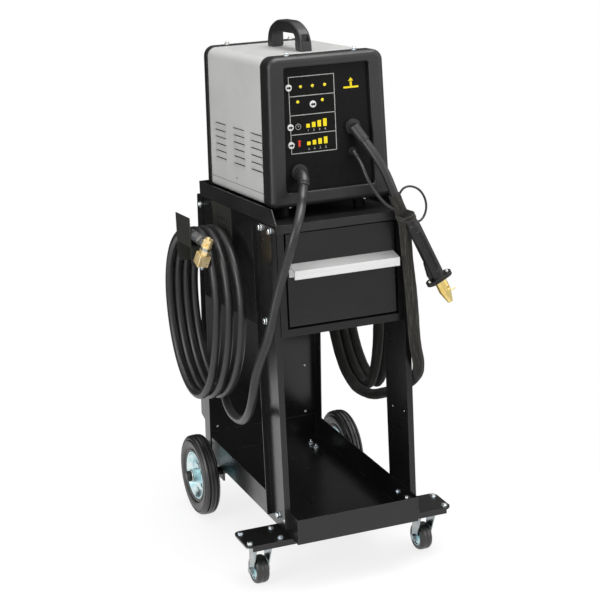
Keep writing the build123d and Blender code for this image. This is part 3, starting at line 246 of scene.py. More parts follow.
def brushed_aluminium():
    f = Finish("brushed_aluminium", metal=0.6, specular=0.4)
    lines = f.noise(1.0, 4.0, (6, 1400, 1400), 0.7)
    tone = f.blend(f.middle(lines), (0.72, 0.725, 0.73), (0.86, 0.86, 0.85))
    tone = f.blend(f.span(f.noise(9.0, 3.0), 0.55, 0.75, 0.0, 0.35), tone, (0.7, 0.7, 0.69))
    # Painted shade: faces turned up are darker, so the top of the handle is darker than its lip.
    f.colour(f.blend(f.span(f.upward(), 0.45, 0.9, 0.0, 0.66), tone, (0.4, 0.4, 0.395)))
    f.roughness(f.middle(lines, 0.42, 0.56))
    f.bevel(0.0008)
    f.bump(lines, 0.12, 0.0003)
    return f.done()


def zinc_plate(name, cool, warm, dull):
    """Zinc plating that turns from a bluish to a warmer grey, with dull spots."""
    f = Finish(name, metal=1.0)
    tone = f.blend(f.span(f.noise(26.0, 3.0), 0.36, 0.64), cool, warm)
    spots = f.span(f.noise(90.0, 5.0), 0.58, 0.72, 0.0, 0.35)
    f.colour(f.blend(spots, tone, dull))
    f.roughness(f.middle(f.noise(60.0, 4.0), 0.18, 0.36))
    f.bevel(0.0007)
    f.bump(f.noise(260.0, 3.0), 0.07, 0.0004)
    return f.done()


def plain_steel(name, low, high):
    f = Finish(name, metal=1.0)
    lines = f.noise(1.0, 4.0, (500, 8, 500), 0.7)
    f.colour(f.blend(f.middle(lines), (low, low, 1.03 * low), (high, high, 0.98 * high)))
    f.roughness(f.middle(f.noise(45.0, 4.0), 0.26, 0.44))
    f.bevel(0.0006)
    f.bump(lines, 0.08, 0.0003)
    return f.done()


def tyre_rubber():
    f = Finish("tyre_rubber", specular=0.7)
    dust = f.span(f.noise(28.0, 5.0), 0.45, 0.75, 0.0, 0.3)
    fine = f.noise(320.0, 3.0)
    f.colour(f.blend(dust, (0.009, 0.0089, 0.0087), (0.04, 0.0385, 0.036)))
    f.roughness(f.middle(fine, 0.28, 0.44))
    f.bevel(0.001)
    f.bump(fine, 0.2, 0.0004)
    return f.done()


def silver_paint():
    f = Finish("silver_paint", coat=0.12, coat_rough=0.25)
    tone = f.blend(f.middle(f.noise(6.0, 3.0)), (0.46, 0.46, 0.452), (0.51, 0.51, 0.5))
    tone = f.blend(f.span(f.cells(2600.0), 0.1, 0.5, 0.22, 0.0), tone, (0.62, 0.62, 0.61))
    # Edges and creases darker: partly wear, partly painted shade in the creases.
    edge_wear_and_painted_light = f.math("MULTIPLY", f.edges(0.0014), f.span(f.noise(46.0, 4.0), 0.5, 0.7, 0.0, 0.5))
    f.colour(f.blend(edge_wear_and_painted_light, tone, (0.3, 0.3, 0.295)))
    f.roughness(f.middle(f.noise(30.0, 4.0), 0.38, 0.5))
    f.bevel(0.0009)
    f.bump(f.noise(520.0, 2.0), 0.1, 0.0003)
    return f.done()


def moulded(name, low, high, rough, grain=900.0, depth=0.16, spec=0.4):
    """Textured moulded plastic."""
    f = Finish(name, specular=spec)
    tone = f.blend(f.middle(f.noise(11.0, 4.0)), low, high)
    # Pale edges: partly wear, partly a painted highlight where the edges catch light.
    edge_wear_and_painted_light = f.math("MULTIPLY", f.edges(0.0016, 0.2), f.span(f.noise(40.0, 4.0), 0.4, 0.7, 0.0, 0.35))
    pale = tuple(0.08 + 1.1 * v for v in high)
    f.colour(f.blend(edge_wear_and_painted_light, tone, pale))
    f.roughness(f.middle(f.noise(70.0, 4.0), rough - 0.06, rough + 0.08))
    f.bevel(0.0009)
    f.bump(f.noise(grain, 2.0), depth, 0.0003)
    return f.done()


def clear_plastic(name, tone, rough=0.3):
    """Glossy coloured plastic for lamps and keys."""
    f = Finish(name, coat=0.25, coat_rough=0.12, specular=0.5)
    cloud = f.noise(120.0, 3.0)
    dark = tuple(0.86 * v for v in tone)
    f.colour(f.blend(f.middle(cloud), dark, tone))
    f.roughness(f.middle(cloud, rough, rough + 0.1))
    f.bevel(0.0004)
    f.bump(f.noise(700.0, 2.0), 0.06, 0.0002)
    return f.done()


def cable_rubber():
    f = Finish("cable_rubber", specular=0.52, sheen=0.03)
    cloud = f.noise(22.0, 4.0)
    tone = f.blend(f.middle(cloud), (0.010, 0.010, 0.0101), (0.019, 0.0189, 0.0185))
    rub = f.span(f.noise(120.0, 5.0, (1, 1, 1), 0.7), 0.6, 0.75, 0.0, 0.35)
    f.colour(f.blend(rub, tone, (0.15, 0.15, 0.147)))
    f.roughness(f.middle(cloud, 0.31, 0.4))
    f.bump(f.noise(360.0, 3.0), 0.14, 0.0004)
    return f.done()


def woven_sleeve(name, low, high):
    """Woven fabric by its UV map in metres, with pale streaks and fuzz; the coil, past the hanging end, is
    painted near black as painted shade.
    """
    f = Finish(name, sheen=0.12, sheen_rough=0.5, specular=0.15)
    thread = 0.0016
    cloth = f.node("TexCoord").outputs["UV"]
    weave = f.math("MULTIPLY", f.stripes(cloth, "X", thread), f.stripes(cloth, "Y", thread))
    tone = f.blend(f.middle(f.noise(34.0, 5.0)), low, high)
    pale = tuple(1.7 * v for v in high)
    tone = f.blend(f.span(weave, -1.0, 1.0, 0.0, 0.45), tone, pale)
    streak = f.span(f.noise(1.0, 5.0, (26, 280, 1), 0.65, uv=True), 0.5, 0.7, 0.0, 0.8)
    tone = f.blend(streak, tone, (0.12, 0.112, 0.098))
    fuzz = f.span(f.noise(260.0, 5.0), 0.55, 0.75, 0.0, 0.3)
    tone = f.blend(fuzz, tone, (0.1, 0.095, 0.085))
    # Painted shade: from a quarter to half a metre along the sleeve the colour goes near black, and stays
    # so round the coil.
    painted_coil_shade = f.span(f.part(cloth, "X"), 0.26, 0.5, 0.0, 0.85)
    f.colour(f.blend(painted_coil_shade, tone, (0.0035, 0.0033, 0.003)))
    f.roughness(f.span(weave, -1.0, 1.0, 0.92, 0.78))
    f.bump(weave, 0.5, 0.0004)
    f.bump(f.noise(90.0, 4.0), 0.35, 0.0012)
    return f.done()


def brass(name, metal, low, high):
    f = Finish(name, metal=metal)
    tone = f.blend(f.span(f.noise(40.0, 4.0), 0.35, 0.65), low, high)
    dull = f.span(f.noise(130.0, 5.0), 0.58, 0.74, 0.0, 0.4)
    f.colour(f.blend(dull, tone, (0.64, 0.48, 0.23)))
    f.roughness(f.middle(f.noise(75.0, 4.0), 0.26, 0.38))
    f.bevel(0.0007)
    f.bump(f.noise(1.0, 3.0, (900, 900, 60)), 0.02, 0.0003)
    return f.done()


def laminations():
    f = Finish("core_laminations", metal=0.7)
    sheets = f.stripes(f.node("TexCoord").outputs["Object"], "Y", 0.0012)
    tone = f.blend(f.span(sheets, -1, 1), (0.12, 0.12, 0.125), (0.3, 0.29, 0.28))
    rust = f.span(f.noise(45.0, 5.0), 0.58, 0.74, 0.0, 0.5)
    f.colour(f.blend(rust, tone, (0.2, 0.1, 0.05)))
    f.roughness(f.middle(f.noise(50.0, 3.0), 0.42, 0.6))
    f.bevel(0.0006)
    f.bump(sheets, 0.3, 0.0003)
    return f.done()


def enamel_wire():
    f = Finish("enamelled_copper", metal=0.85)
    turns = f.stripes(f.node("TexCoord").outputs["Object"], "Z", 0.004)
    f.colour(f.blend(f.span(turns, -1, 1), (0.2, 0.07, 0.03), (0.62, 0.27, 0.12)))
    f.roughness(f.middle(f.noise(80.0, 3.0), 0.24, 0.4))
    f.bump(turns, 0.6, 0.0012)
    return f.done()


def circuit_board():
    f = Finish("circuit_board", coat=0.3, coat_rough=0.2)
    tracks = f.cells(160.0, (1, 1, 0.25))
    cloud = f.noise(18.0, 3.0)
    tone = f.blend(f.middle(cloud), (0.012, 0.1, 0.045), (0.016, 0.14, 0.06))
    f.colour(f.blend(f.span(tracks, 0.02, 0.1, 0.6, 0.0), tone, (0.05, 0.26, 0.11)))
    f.roughness(f.middle(cloud, 0.3, 0.42))
    f.bevel(0.0004)
    f.bump(tracks, 0.15, 0.0003)
    return f.done()


def ink(name, tone):
    """Screen-printed ink with a faintly uneven film."""
    f = Finish(name, specular=0.3)
    film = f.noise(700.0, 4.0)
    thin = tuple(0.8 * v for v in tone)
    f.colour(f.blend(f.span(film, 0.25, 0.6), thin, tone))
    f.roughness(f.middle(film, 0.42, 0.58))
    f.bump(film, 0.1, 0.0001)
    return f.done()


def clear_film():
    f = Finish("clear_shrink_film", ior=1.45, specular=0.5, clear=0.96)
    cloud = f.noise(90.0, 4.0)
    f.colour(f.blend(f.middle(cloud), (0.93, 0.95, 0.96), (0.98, 0.985, 0.99)))
    f.roughness(f.middle(cloud, 0.03, 0.1))
    f.bump(f.noise(160.0, 3.0), 0.12, 0.0004)
    return f.done()


COAT = powder_coat("powder_coat_black", 0.004, 0.0075, 0.25)
# The drawer front, top tray and hooks take lighter copies of the same black coat, the hooks warmer as
# well: painted light.
DRAWER = powder_coat("powder_coat_satin_lit", 0.0055, 0.01, 0.29)
TRAY = powder_coat("powder_coat_tray_lit", 0.012, 0.019, 0.32)
HOOK = powder_coat("powder_coat_hook_lit", 0.03, 0.042, 0.34, 0.86)
PLASTIC = moulded("charcoal_plastic", (0.009, 0.009, 0.0091), (0.0145, 0.0145, 0.0143), 0.38,
                  900.0, 0.2, 0.48)
PANEL = moulded("panel_overlay", (0.0055, 0.0055, 0.0055), (0.008, 0.008, 0.008), 0.3, 1400.0, 0.05, 0.1)
GUN = moulded("gun_plastic", (0.006, 0.006, 0.0061), (0.011, 0.011, 0.0108), 0.33, 700.0, 0.12)
# Near black, for seams and for painted shade in a hole and round the drawer.
GAP = moulded("gap_black", (0.0008, 0.0008, 0.0008), (0.0014, 0.0014, 0.0014), 0.8, 700.0, 0.05, 0.0)
FOOT = moulded("foot_rubber", (0.004, 0.004, 0.004), (0.007, 0.007, 0.0068), 0.6, 500.0, 0.12, 0.2)
ZINC = zinc_plate("zinc_plate", (0.66, 0.74, 0.82), (0.86, 0.85, 0.78), (0.55, 0.57, 0.58))
# A darker copy of the zinc plating for the caster forks and plates: painted shade.
FORK = zinc_plate("fork_zinc_shaded", (0.3, 0.36, 0.39), (0.45, 0.46, 0.45), (0.27, 0.29, 0.3))
WHEEL_ZINC = zinc_plate("wheel_zinc", (0.42, 0.66, 0.71), (0.74, 0.85, 0.86), (0.38, 0.5, 0.53))
BLACK_STEEL = plain_steel("black_oxide", 0.02, 0.045)
TYRE = tyre_rubber()
RUBBER = cable_rubber()
FABRIC = woven_sleeve("woven_sleeve", (0.017, 0.016, 0.0138), (0.028, 0.0264, 0.023))
WEBBING = woven_sleeve("strap_webbing", (0.014, 0.013, 0.012), (0.024, 0.0225, 0.02))
BRASS = brass("brass", 0.55, (0.82, 0.62, 0.28), (0.94, 0.77, 0.44))
NOSE_BRASS = brass("nose_brass", 0.8, (0.84, 0.62, 0.19), (0.97, 0.79, 0.34))
WHITE_INK = ink("white_ink", (0.78, 0.78, 0.76))
LINE_INK = ink("line_ink", (0.45, 0.45, 0.43))
YELLOW_INK = ink("yellow_ink", (0.94, 0.74, 0.012))
BLACK_INK = ink("black_ink", (0.003, 0.003, 0.003))
FINISHES = {
    "frame_black": COAT,
    "aluminium": brushed_aluminium(),
    "zinc": ZINC,
    "steel": plain_steel("drawn_steel", 0.42, 0.56),
    "tyre": TYRE,
    "cover_silver": silver_paint(),
    "bezel_black": PLASTIC,
    "panel_black": PANEL,
    "button_grey": clear_plastic("key_white", (0.8, 0.8, 0.78), 0.36),
    "lamp_yellow": clear_plastic("lamp_yellow", (0.94, 0.74, 0.012), 0.2),
    "core_steel": laminations(),
    "winding": enamel_wire(),
    "board": circuit_board(),
    "cable_rubber": RUBBER,
    "sleeve_fabric": FABRIC,
    "brass": BRASS,
    "gun_black": GUN,
}


def dress_nodes():
    """Gives every CAD node the finish of its slot, and some nodes one of their own."""
    for obj in nodes.values():
        for i, mat in enumerate(obj.data.materials):
            key = mat.name.split(".")[0]
            if key in FINISHES:
                obj.data.materials[i] = FINISHES[key]
    # Some of these are copies of one paint or plating in another tone: painted light on the drawer front,
    # top tray and hooks, painted shade on the forks and caster plates.
    own = {"drawer_front": DRAWER, "top_tray": TRAY, "welder_feet": FOOT, "axle": BLACK_STEEL,
           "caster_plates": FORK, "gun_nose": NOSE_BRASS}
    for side in ("left", "right"):
        own[side + "_caster_fork"] = FORK
        own[side + "_cable_hook"] = HOOK
        own[side + "_wheel_disc"] = WHEEL_ZINC
    for name, mat in own.items():
        nodes[name].data.materials[0] = mat


dress_nodes()


# Helpers for pieces

SHARP_EDGE = radians(35)


def add_piece(name, bm, mat, body="cart", smooth=True):
    mesh = bpy.data.meshes.new(name)
    bmesh.ops.recalc_face_normals(bm, faces=bm.faces)
    bm.to_mesh(mesh)
    bm.free()
    obj = add_object(name, mesh)
    mesh.materials.append(mat)
    if smooth:
        for face in mesh.polygons:
            face.use_smooth = True
        mesh.set_sharp_from_angle(angle=SHARP_EDGE)
    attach(obj, body)
    return obj


def spline(name, points, width, mat):
    """A round cord on one NURBS line along the route's points, in metres, or a bare line."""
    data = bpy.data.curves.new(name, "CURVE")
    data.dimensions = "3D"
    line = data.splines.new("NURBS")
    line.points.add(len(points) - 1)
    for spot, p in zip(line.points, points):
        spot.co = (p[0], p[1], p[2], 1.0)
    line.order_u = 3
    line.use_endpoint_u = True
    line.resolution_u = 10
    data.bevel_depth = width / 2
    data.bevel_resolution = 7
    data.use_fill_caps = True
    obj = add_object(name, data)
    if mat is not None:
        data.materials.append(mat)
        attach(obj, "cart")
    return obj


def line_points(obj):
    """Points along a curve with no bevel, in order."""
    mesh = bpy.data.meshes.new_from_object(obj)
    points = [v.co.copy() for v in mesh.vertices]
    bpy.data.meshes.remove(mesh)
    return points


def line_length(points):
    return sum((b - a).length for a, b in zip(points, points[1:]))


def basis(way, hint=Vector((0, 0, 1))):
    """Rotation whose Z runs along way."""
    z = way.normalized()
    if abs(z.dot(hint)) > 0.95:
        hint = Vector((1, 0, 0))
    x = hint.cross(z).normalized()
    return Matrix((x, z.cross(x), z)).transposed().to_4x4()


def placed(spot, spin=Matrix()):
    """A frame in metres at a spot in millimetres."""
    return METRES @ Matrix.Translation(spot) @ spin


def bridge(bm, rings, closed=False):
    """Walls from each ring of points to the next; a ring of one point makes a tip."""
    for a, b in zip(rings, rings[1:] + rings[:1] if closed else rings[1:]):
        for k in range(max(len(a), len(b))):
            n = k + 1
            corners = (a[k % len(a)], a[n % len(a)], b[n % len(b)], b[k % len(b)])
            corners = list(dict.fromkeys(corners))
            if len(corners) > 2:
                bm.faces.new(corners)


def capped(bm, rings):
    """Walls between rings, and a face at each end."""
    bridge(bm, rings)
    bm.faces.new(rings[0][::-1])
    bm.faces.new(rings[-1])


def lathe(bm, place, profile, sides):
    """Turns (radius, height) pairs about the local Z of place, in millimetres."""
    rings = []
    for r, z in profile:
        steps = angles(sides if r else 1)
        rings.append([bm.verts.new(place @ Vector((r * cos(a), r * sin(a), z))) for a in steps])
    bridge(bm, rings)


def slab(bm, place, xs, ys, z0, z1, ease=0.0):
    """A box in place's frame, in millimetres, with its upper edges eased."""
    x0, x1 = xs
    y0, y1 = ys
    levels = [(z0, 0.0), (z1 - ease, 0.0), (z1, ease)] if ease else [(z0, 0.0), (z1, 0.0)]
    rings = []
    for z, e in levels:
        corners = ((x0 + e, y0 + e), (x1 - e, y0 + e), (x1 - e, y1 - e), (x0 + e, y1 - e))
        rings.append([bm.verts.new(place @ Vector((x, y, z))) for x, y in corners])
    capped(bm, rings)


def stack(bm, place, outline, levels):
    """One outline at (height, scale) levels of place's frame, in millimetres."""
    rings = []
    for z, scale in levels:
        rings.append([bm.verts.new(place @ Vector((x * scale, y * scale, z))) for x, y in outline])
    capped(bm, rings)


def prism(bm, place, outline, z0, z1):
    stack(bm, place, outline, ((z0, 1.0), (z1, 1.0)))


def quarters(points):
    """Points repeated round the middle in four quarter turns."""
    turned = []
    for c, s in ((1, 0), (0, 1), (-1, 0), (0, -1)):
        turned += [(x * c - y * s, x * s + y * c) for x, y in points]
    return turned


def woven_faces(bm, uv, rings, uv_at, closed=False):
    """Walls between neighbouring rings, with a UV map in metres for the weave."""
    count, around = len(rings), len(rings[0])
    for i in range(count if closed else count - 1):
        for k in range(around):
            corners = ((i, k), (i, k + 1), (i + 1, k + 1), (i + 1, k))
            face = bm.faces.new([rings[u % count][v % around] for u, v in corners])
            for loop, (u, v) in zip(face.loops, corners):
                loop[uv].uv = uv_at(u, v)


# Cords

WELD_CABLE = 0.020
CONTROL_CABLE = 0.007
TRIGGER_CABLE = 0.005
SLEEVE_RADIUS = 0.0126
LOOP_SWELL = 1.018


def hanging_loops(side, x0, pitch, quarter_turns, low, rear, top, front, grow_rear, grow_front):
    """Four points to each quarter turn of loops over a hook; low, rear, top and front are (Y, Z)."""
    points = []
    for k in range(quarter_turns):
        turn, quarter = divmod(k, 4)
        behind = (rear[0] + grow_rear * turn, rear[1])
        ahead = (front[0] + grow_front * turn, front[1])
        (ay, az), (by, bz) = (low, behind, top, ahead, low)[quarter:quarter + 2]
        for step in range(4):
            a = pi / 2 * step / 4
            s, c = sin(a) * LOOP_SWELL, cos(a) * LOOP_SWELL
            if quarter % 2:
                y, z = by + (ay - by) * c, az + (bz - az) * s
            else:
                y, z = ay + (by - ay) * s, bz + (az - bz) * c
            points.append(at(side * (x0 + pitch * (k + step / 4) / 4), y, z))
    return points


EARTH_TIP = at(-77.14, -205.53, 915.34)
EARTH_WAY = Vector((-0.37, -0.45, -0.81)).normalized()
EARTH_OUT = at(-233.46, 68.04, 753.97)
earth_route = [
    EARTH_TIP - EARTH_WAY * 0.006,
    EARTH_TIP + EARTH_WAY * 0.027,
    at(-107, -258, 878), at(-126, -282, 850), at(-143, -290, 816), at(-149, -276, 773),
    at(-158, -264, 730), at(-168, -260, 690), at(-177, -258, 650), at(-186, -256, 610),
    at(-196, -250, 573), at(-205, -239, 538), at(-211, -227, 497), at(-212, -215, 452),
    at(-210, -187, 405), at(-205, -130, 362), at(-197, -46, 346), at(-181, 32, 342),
    at(-165, 88, 344),
]
earth_route += hanging_loops(
    -1, 161, 20.6, 14, (134, 345), (280, 560), (88.04, 753.97), (-68, 590), 1, 26)
earth_route += [at(-233, 94, 755.5), EARTH_OUT, at(-233.7, 56, 753.97)]
earth_lead = spline("earth_lead", earth_route, WELD_CABLE, RUBBER)
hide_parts("earth_cable", "earth_coil")

GUN_TIP = at(74.16, -193.36, 994.96)
GUN_WAY = Vector((0.38, -0.56, -0.74)).normalized()
SLEEVE_TOP = up(121.5, -25.5, 270)
gun_route = [
    GUN_TIP - GUN_WAY * 0.006,
    GUN_TIP + GUN_WAY * 0.026,
    up(94, -10.5, 345), up(104, -19.5, 321), at(112.73, -241.39, 904.99), at(124.2, -243.2, 873),
]
gun_lead = spline("gun_lead", gun_route, WELD_CABLE, RUBBER)
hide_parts("gun_cable")

CONTROL_TIP = at(58.34, -189.6, 959.87)
CONTROL_WAY = Vector((0.1, -0.8, -0.59)).normalized()
control_route = [
    CONTROL_TIP - CONTROL_WAY * 0.004,
    CONTROL_TIP + CONTROL_WAY * 0.022,
    up(64, -8, 313), up(73, -18, 288), up(88, -24, 264), up(104, -26, 247), up(124, -25.5, 236),
]
control_lead = spline("control_lead", control_route, CONTROL_CABLE, RUBBER)
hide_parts("control_cable")

sleeve_route = [
    SLEEVE_TOP,
    up(131, -25, 243.5), up(144, -24.5, 212), up(146.5, -24.5, 178), up(149, -24.5, 132),
    up(153.5, -24.5, 82), up(156, -24, 26), up(158.5, -22.5, -34), up(164, -20.5, -82),
    up(174.5, -13, -122), up(183, 11, -158), at(186, -190, 414), at(182, -127, 376),
    at(174.5, -72, 350), at(166, -34, 334.5), at(160.6, 0, 331), at(161.3, 30, 328),
]
sleeve_route += hanging_loops(
    1, 162, 26.6, 10, (56, 331), (216, 570), (97.04, 761.97), (-34, 560), 10, 10)
sleeve_route += [at(228.6, 97, 763.5), at(229.16, 73, 762)]

lead_route = [
    up(133, -23, 266), at(139, -241.5, 889), at(151, -243, 896), at(167, -242, 894),
    at(185, -240, 884), at(198, -240, 865), at(201, -243, 843), at(193, -247, 824),
    at(179, -252, 815), at(166, -257, 818.5), at(153.75, -260.13, 840.26),
]
trigger_lead = spline("trigger_lead_loop", lead_route, TRIGGER_CABLE, RUBBER)
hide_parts("trigger_lead")


def slack(a, run):
    """How far the fabric stands off its round: folds, a lap, and the lap's crease."""
    c, s = cos(a), sin(a)
    fold = noise.noise(Vector((c * 1.6, s * 1.6, run * 9.0))) * 0.0019
    fold += noise.noise(Vector((c * 3.0, s * 3.0, run * 55.0))) * 0.0005
    seam = (a - 0.5 * sin(run * 3.0)) % tau
    lap = 0.0009 if seam < 0.75 else 0.0
    crease = -0.0009 * exp(-((seam - 0.78) / 0.1) ** 2)
    return fold + lap + crease


def fabric_tube(name, route, radius):
    """A slack woven sleeve round the route's line, with a lapped seam and a flat sewn end."""
    around = 40
    sewn, mouth, flare = 0.045, 0.02, 0.0004
    guide = spline(name + "_line", route, 0.0, None)
    path = line_points(guide)
    bpy.data.objects.remove(guide)
    total = line_length(path)
    bm = bmesh.new()
    uv = bm.loops.layers.uv.new("UVMap")
    side = Vector((-1, -0.4, 0))
    run = 0.0
    runs = []
    rings = []
    for i, p in enumerate(path):
        way = (path[min(i + 1, len(path) - 1)] - path[max(i - 1, 0)]).normalized()
        side = (side - way * side.dot(way)).normalized()
        other = way.cross(side)
        if i:
            run += (p - path[i - 1]).length
        runs.append(run)
        close = min(1.0, max(0.0, (run - total + sewn) / sewn))
        open_end = max(0.0, 1.0 - run / mouth)
        flat, wide = 1.0 - 0.62 * close, 1.0 + 0.28 * close
        ring = []
        for a in angles(around):
            r = radius + slack(a, run) + flare * open_end
            spot = p + side * (r * cos(a) * wide) + other * (r * sin(a) * flat)
            ring.append(bm.verts.new(spot))
        rings.append(ring)
    woven_faces(bm, uv, rings, lambda i, k: (runs[i], k / around * tau * radius))
    for ring in (rings[0], rings[-1]):
        bm.faces.new(ring)
    return add_piece(name, bm, FABRIC), path


fabric_sleeve, sleeve_path = fabric_tube("fabric_sleeve", sleeve_route, SLEEVE_RADIUS)
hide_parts("gun_sleeve", "gun_coil")


# Gun and the tie round its tail and the sleeve

GUN_AIM = Vector((0.42, -0.02, -0.907)).normalized()
GUN_TAIL = (147.5, -55.0, 208.0)
GUN_SIDE = Vector((0.9065, 0.02, 0.4195))
GUN_FLAT = 14
FLANGE_HOLE = 23.5
FLANGE_Z = (140, 148)


def gun_place():
    """Frame of the gun: Z from tail to nose, Y to the front."""
    x = (GUN_SIDE - GUN_AIM * GUN_SIDE.dot(GUN_AIM)).normalized()
    spin = Matrix((x, GUN_AIM.cross(x), GUN_AIM)).transposed().to_4x4()
    return LEAN @ Matrix.Translation(GUN_TAIL) @ spin


GUN_FRAME = gun_place()


def gun_ribs():
    """Two long grip ribs and the plate's ends on the front of the gun."""
    bm = bmesh.new()
    turned = Matrix.Rotation(radians(-90), 4, "X")
    front = METRES @ GUN_FRAME @ Matrix.Translation((0, GUN_FLAT, 0)) @ turned
    for x in (-5.0, 5.0):
        slab(bm, front, (x - 1.1, x + 1.1), (-116, -24), -0.6, 0.8, 0.5)
    for s in (-122, -20):
        slab(bm, front, (-6.1, 6.1), (s - 1.1, s + 1.1), -0.6, 0.8, 0.5)
    add_piece("gun_grip_ribs", bm, GUN)


TIE_SLEEVE = LEAN @ Vector((139.67, -24.67, 222.5))
TIE_GUN = LEAN @ Vector((140.79, -54.68, 222.5))
TIE_RADIUS = 14.4
TIE_LAP = 0.55
TIE_SECTION = (
    (-6.2, -0.8), (-6.4, 0.0), (-6.0, 0.6), (0, 0.75), (6.0, 0.6), (6.4, 0.0), (6.2, -0.8), (0, -0.85),
)
STITCH_RADIUS = 15.0
STITCHES = 44


def tie_strap():
    """A webbing band round the sleeve and the tail of the gun, with a lapped end and two sewn rows."""
    mid = (TIE_SLEEVE + TIE_GUN) * 0.5
    across = TIE_GUN - TIE_SLEEVE
    half = across.length / 2
    x = across.normalized()
    aim = LEAN.to_3x3() @ GUN_AIM
    z = (aim - x * aim.dot(x)).normalized()
    y = z.cross(x)

    def station(t):
        """Middle, outward way and lap of the band at an angle."""
        middle = mid + x * (half if cos(t) > 0 else -half)
        return middle, x * cos(t) + y * sin(t), TIE_LAP if 0.9 < t < 2.6 else 0.0

    bm = bmesh.new()
    uv = bm.loops.layers.uv.new("UVMap")
    rings = []
    for t in angles(64):
        middle, out, lap = station(t)
        ring = []
        for along, rise in TIE_SECTION:
            wave = lap + 0.12 * sin(t * 9 + along) if rise > 0 else 0.0
            spot = middle + out * (TIE_RADIUS + rise + wave) + z * along
            ring.append(bm.verts.new(spot * MM))
        rings.append(ring)
    woven_faces(bm, uv, rings, lambda i, k: (i * 0.0022, k * 0.0025), closed=True)
    band = add_piece("tie_band", bm, WEBBING)
    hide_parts("cable_strap")
    bm = bmesh.new()
    for t in angles(STITCHES):
        middle, out, lap = station(t)
        for edge in (-4.8, 4.8):
            spot = middle + out * (STITCH_RADIUS + lap) + z * edge
            slab(bm, placed(spot, basis(out, z)), (-0.28, 0.28), (-0.75, 0.75), -0.3, 0.35, 0.15)
    add_piece("tie_stitches", bm, ink("tie_thread", (0.2, 0.19, 0.17)))


tie_strap()


# Fasteners: a bolt is its width across flats, height and washer radius, a screw its radius and height

POST_FACE, POST_INSIDE = 152, 148
POST_BOLTS = ((33, 212), (89, 212), (85, 0))
FOOT_BOLTS = ((20, -451.96), (68, -451.96))
PANEL_BOLTS = (158, 617, 775)
PANEL_Y = 257
CASTER_BOLTS = ((-37.5, -28.5), (-37.5, 28.5), (37.5, -28.5), (37.5, 28.5))
CASTER_BAR_TOP = 121
TRAY_FLOOR = 123
BRACKET_X = 114
BRACKET_HOLES = (-16, 16)
AXLE_END = 216.7
CASE_BOLTS = ((80, 68), (80, 427))
CASE_TOP = 583
CASE_FOOT = (90, 62, 256)
REAR_SCREWS = ((120.5, 192), (120.5, 317))
REAR_INSIDE = 272.5
POST_BOLT = (12.4, 6.6, 8.2)
POST_NUT = (10.5, 4.6, 7.0)
PANEL_BOLT = (10.4, 4.6, 7.4)
CASTER_BOLT = (11.0, 4.4, 7.6)
AXLE_BOLT = (11.0, 5.4, 7.6)
AXLE_BOLT_TIP = ((3.2, 5.0), (3.2, 9.2), (2.7, 9.9), (0, 9.9))
AXLE_WASHER = ((10.2, 0), (16, 0), (16, 1.6), (15.4, 2.2), (10.2, 2.2))
CASE_BOLT = (9.2, 6.2, 6.0)
FOOT_SCREW = (7.0, 5.0, 4.8)
FLANGE_NUT = (6.2, 3.4, 4.4)
REAR_SCREW = (3.4, 2.0)
FLANGE_SCREW = (3.7, 3.0)
SCREW_DOME = ((1.0, 0.0), (1.0, 0.35), (0.86, 0.72), (0.6, 0.92), (0.56, 0.94))


def hex_bolt(bm, place, across, high, washer):
    """Hex head on a washer, chamfered and slightly domed, along the local Z of place."""
    r = across / 2 / cos(pi / 6)
    lathe(bm, place, ((0.1, 0), (washer, 0), (washer, 0.9), (washer - 0.4, 1.2), (0.1, 1.2)), 28)
    head = ((0.1, 1.2), (r * 0.96, 1.2), (r, 1.5), (r, high - 0.8), (r * 0.88, high), (0.1, high))
    lathe(bm, place, head, 6)
    top = ((r * 0.8, high - 0.05), (r * 0.78, high + 0.2), (r * 0.35, high + 0.45), (0, high + 0.5))
    lathe(bm, place, top, 24)


def cross_screw(bm, place, r, high):
    """Domed screw head, r in radius, with a cross recess."""
    lathe(bm, place, [(r * wide, high * tall) for wide, tall in SCREW_DOME], 28)
    arm, half = r * 0.5, r * 0.13
    cross = quarters(((half, -half), (arm, -half), (arm, half), (half, half)))
    wide, tall = SCREW_DOME[-1]
    steps = [a - tau / len(cross) for a in angles(len(cross))]
    rim = [(r * wide * cos(a), r * wide * sin(a), tall * high) for a in steps]
    edge = [(x, y, 0.97 * high) for x, y in cross]
    pit = [(0.8 * x, 0.8 * y, 0.35 * high) for x, y in cross]
    rings = [[bm.verts.new(place @ Vector(p)) for p in ring] for ring in (rim, edge, pit)]
    bridge(bm, rings)
    bm.faces.new(rings[-1])


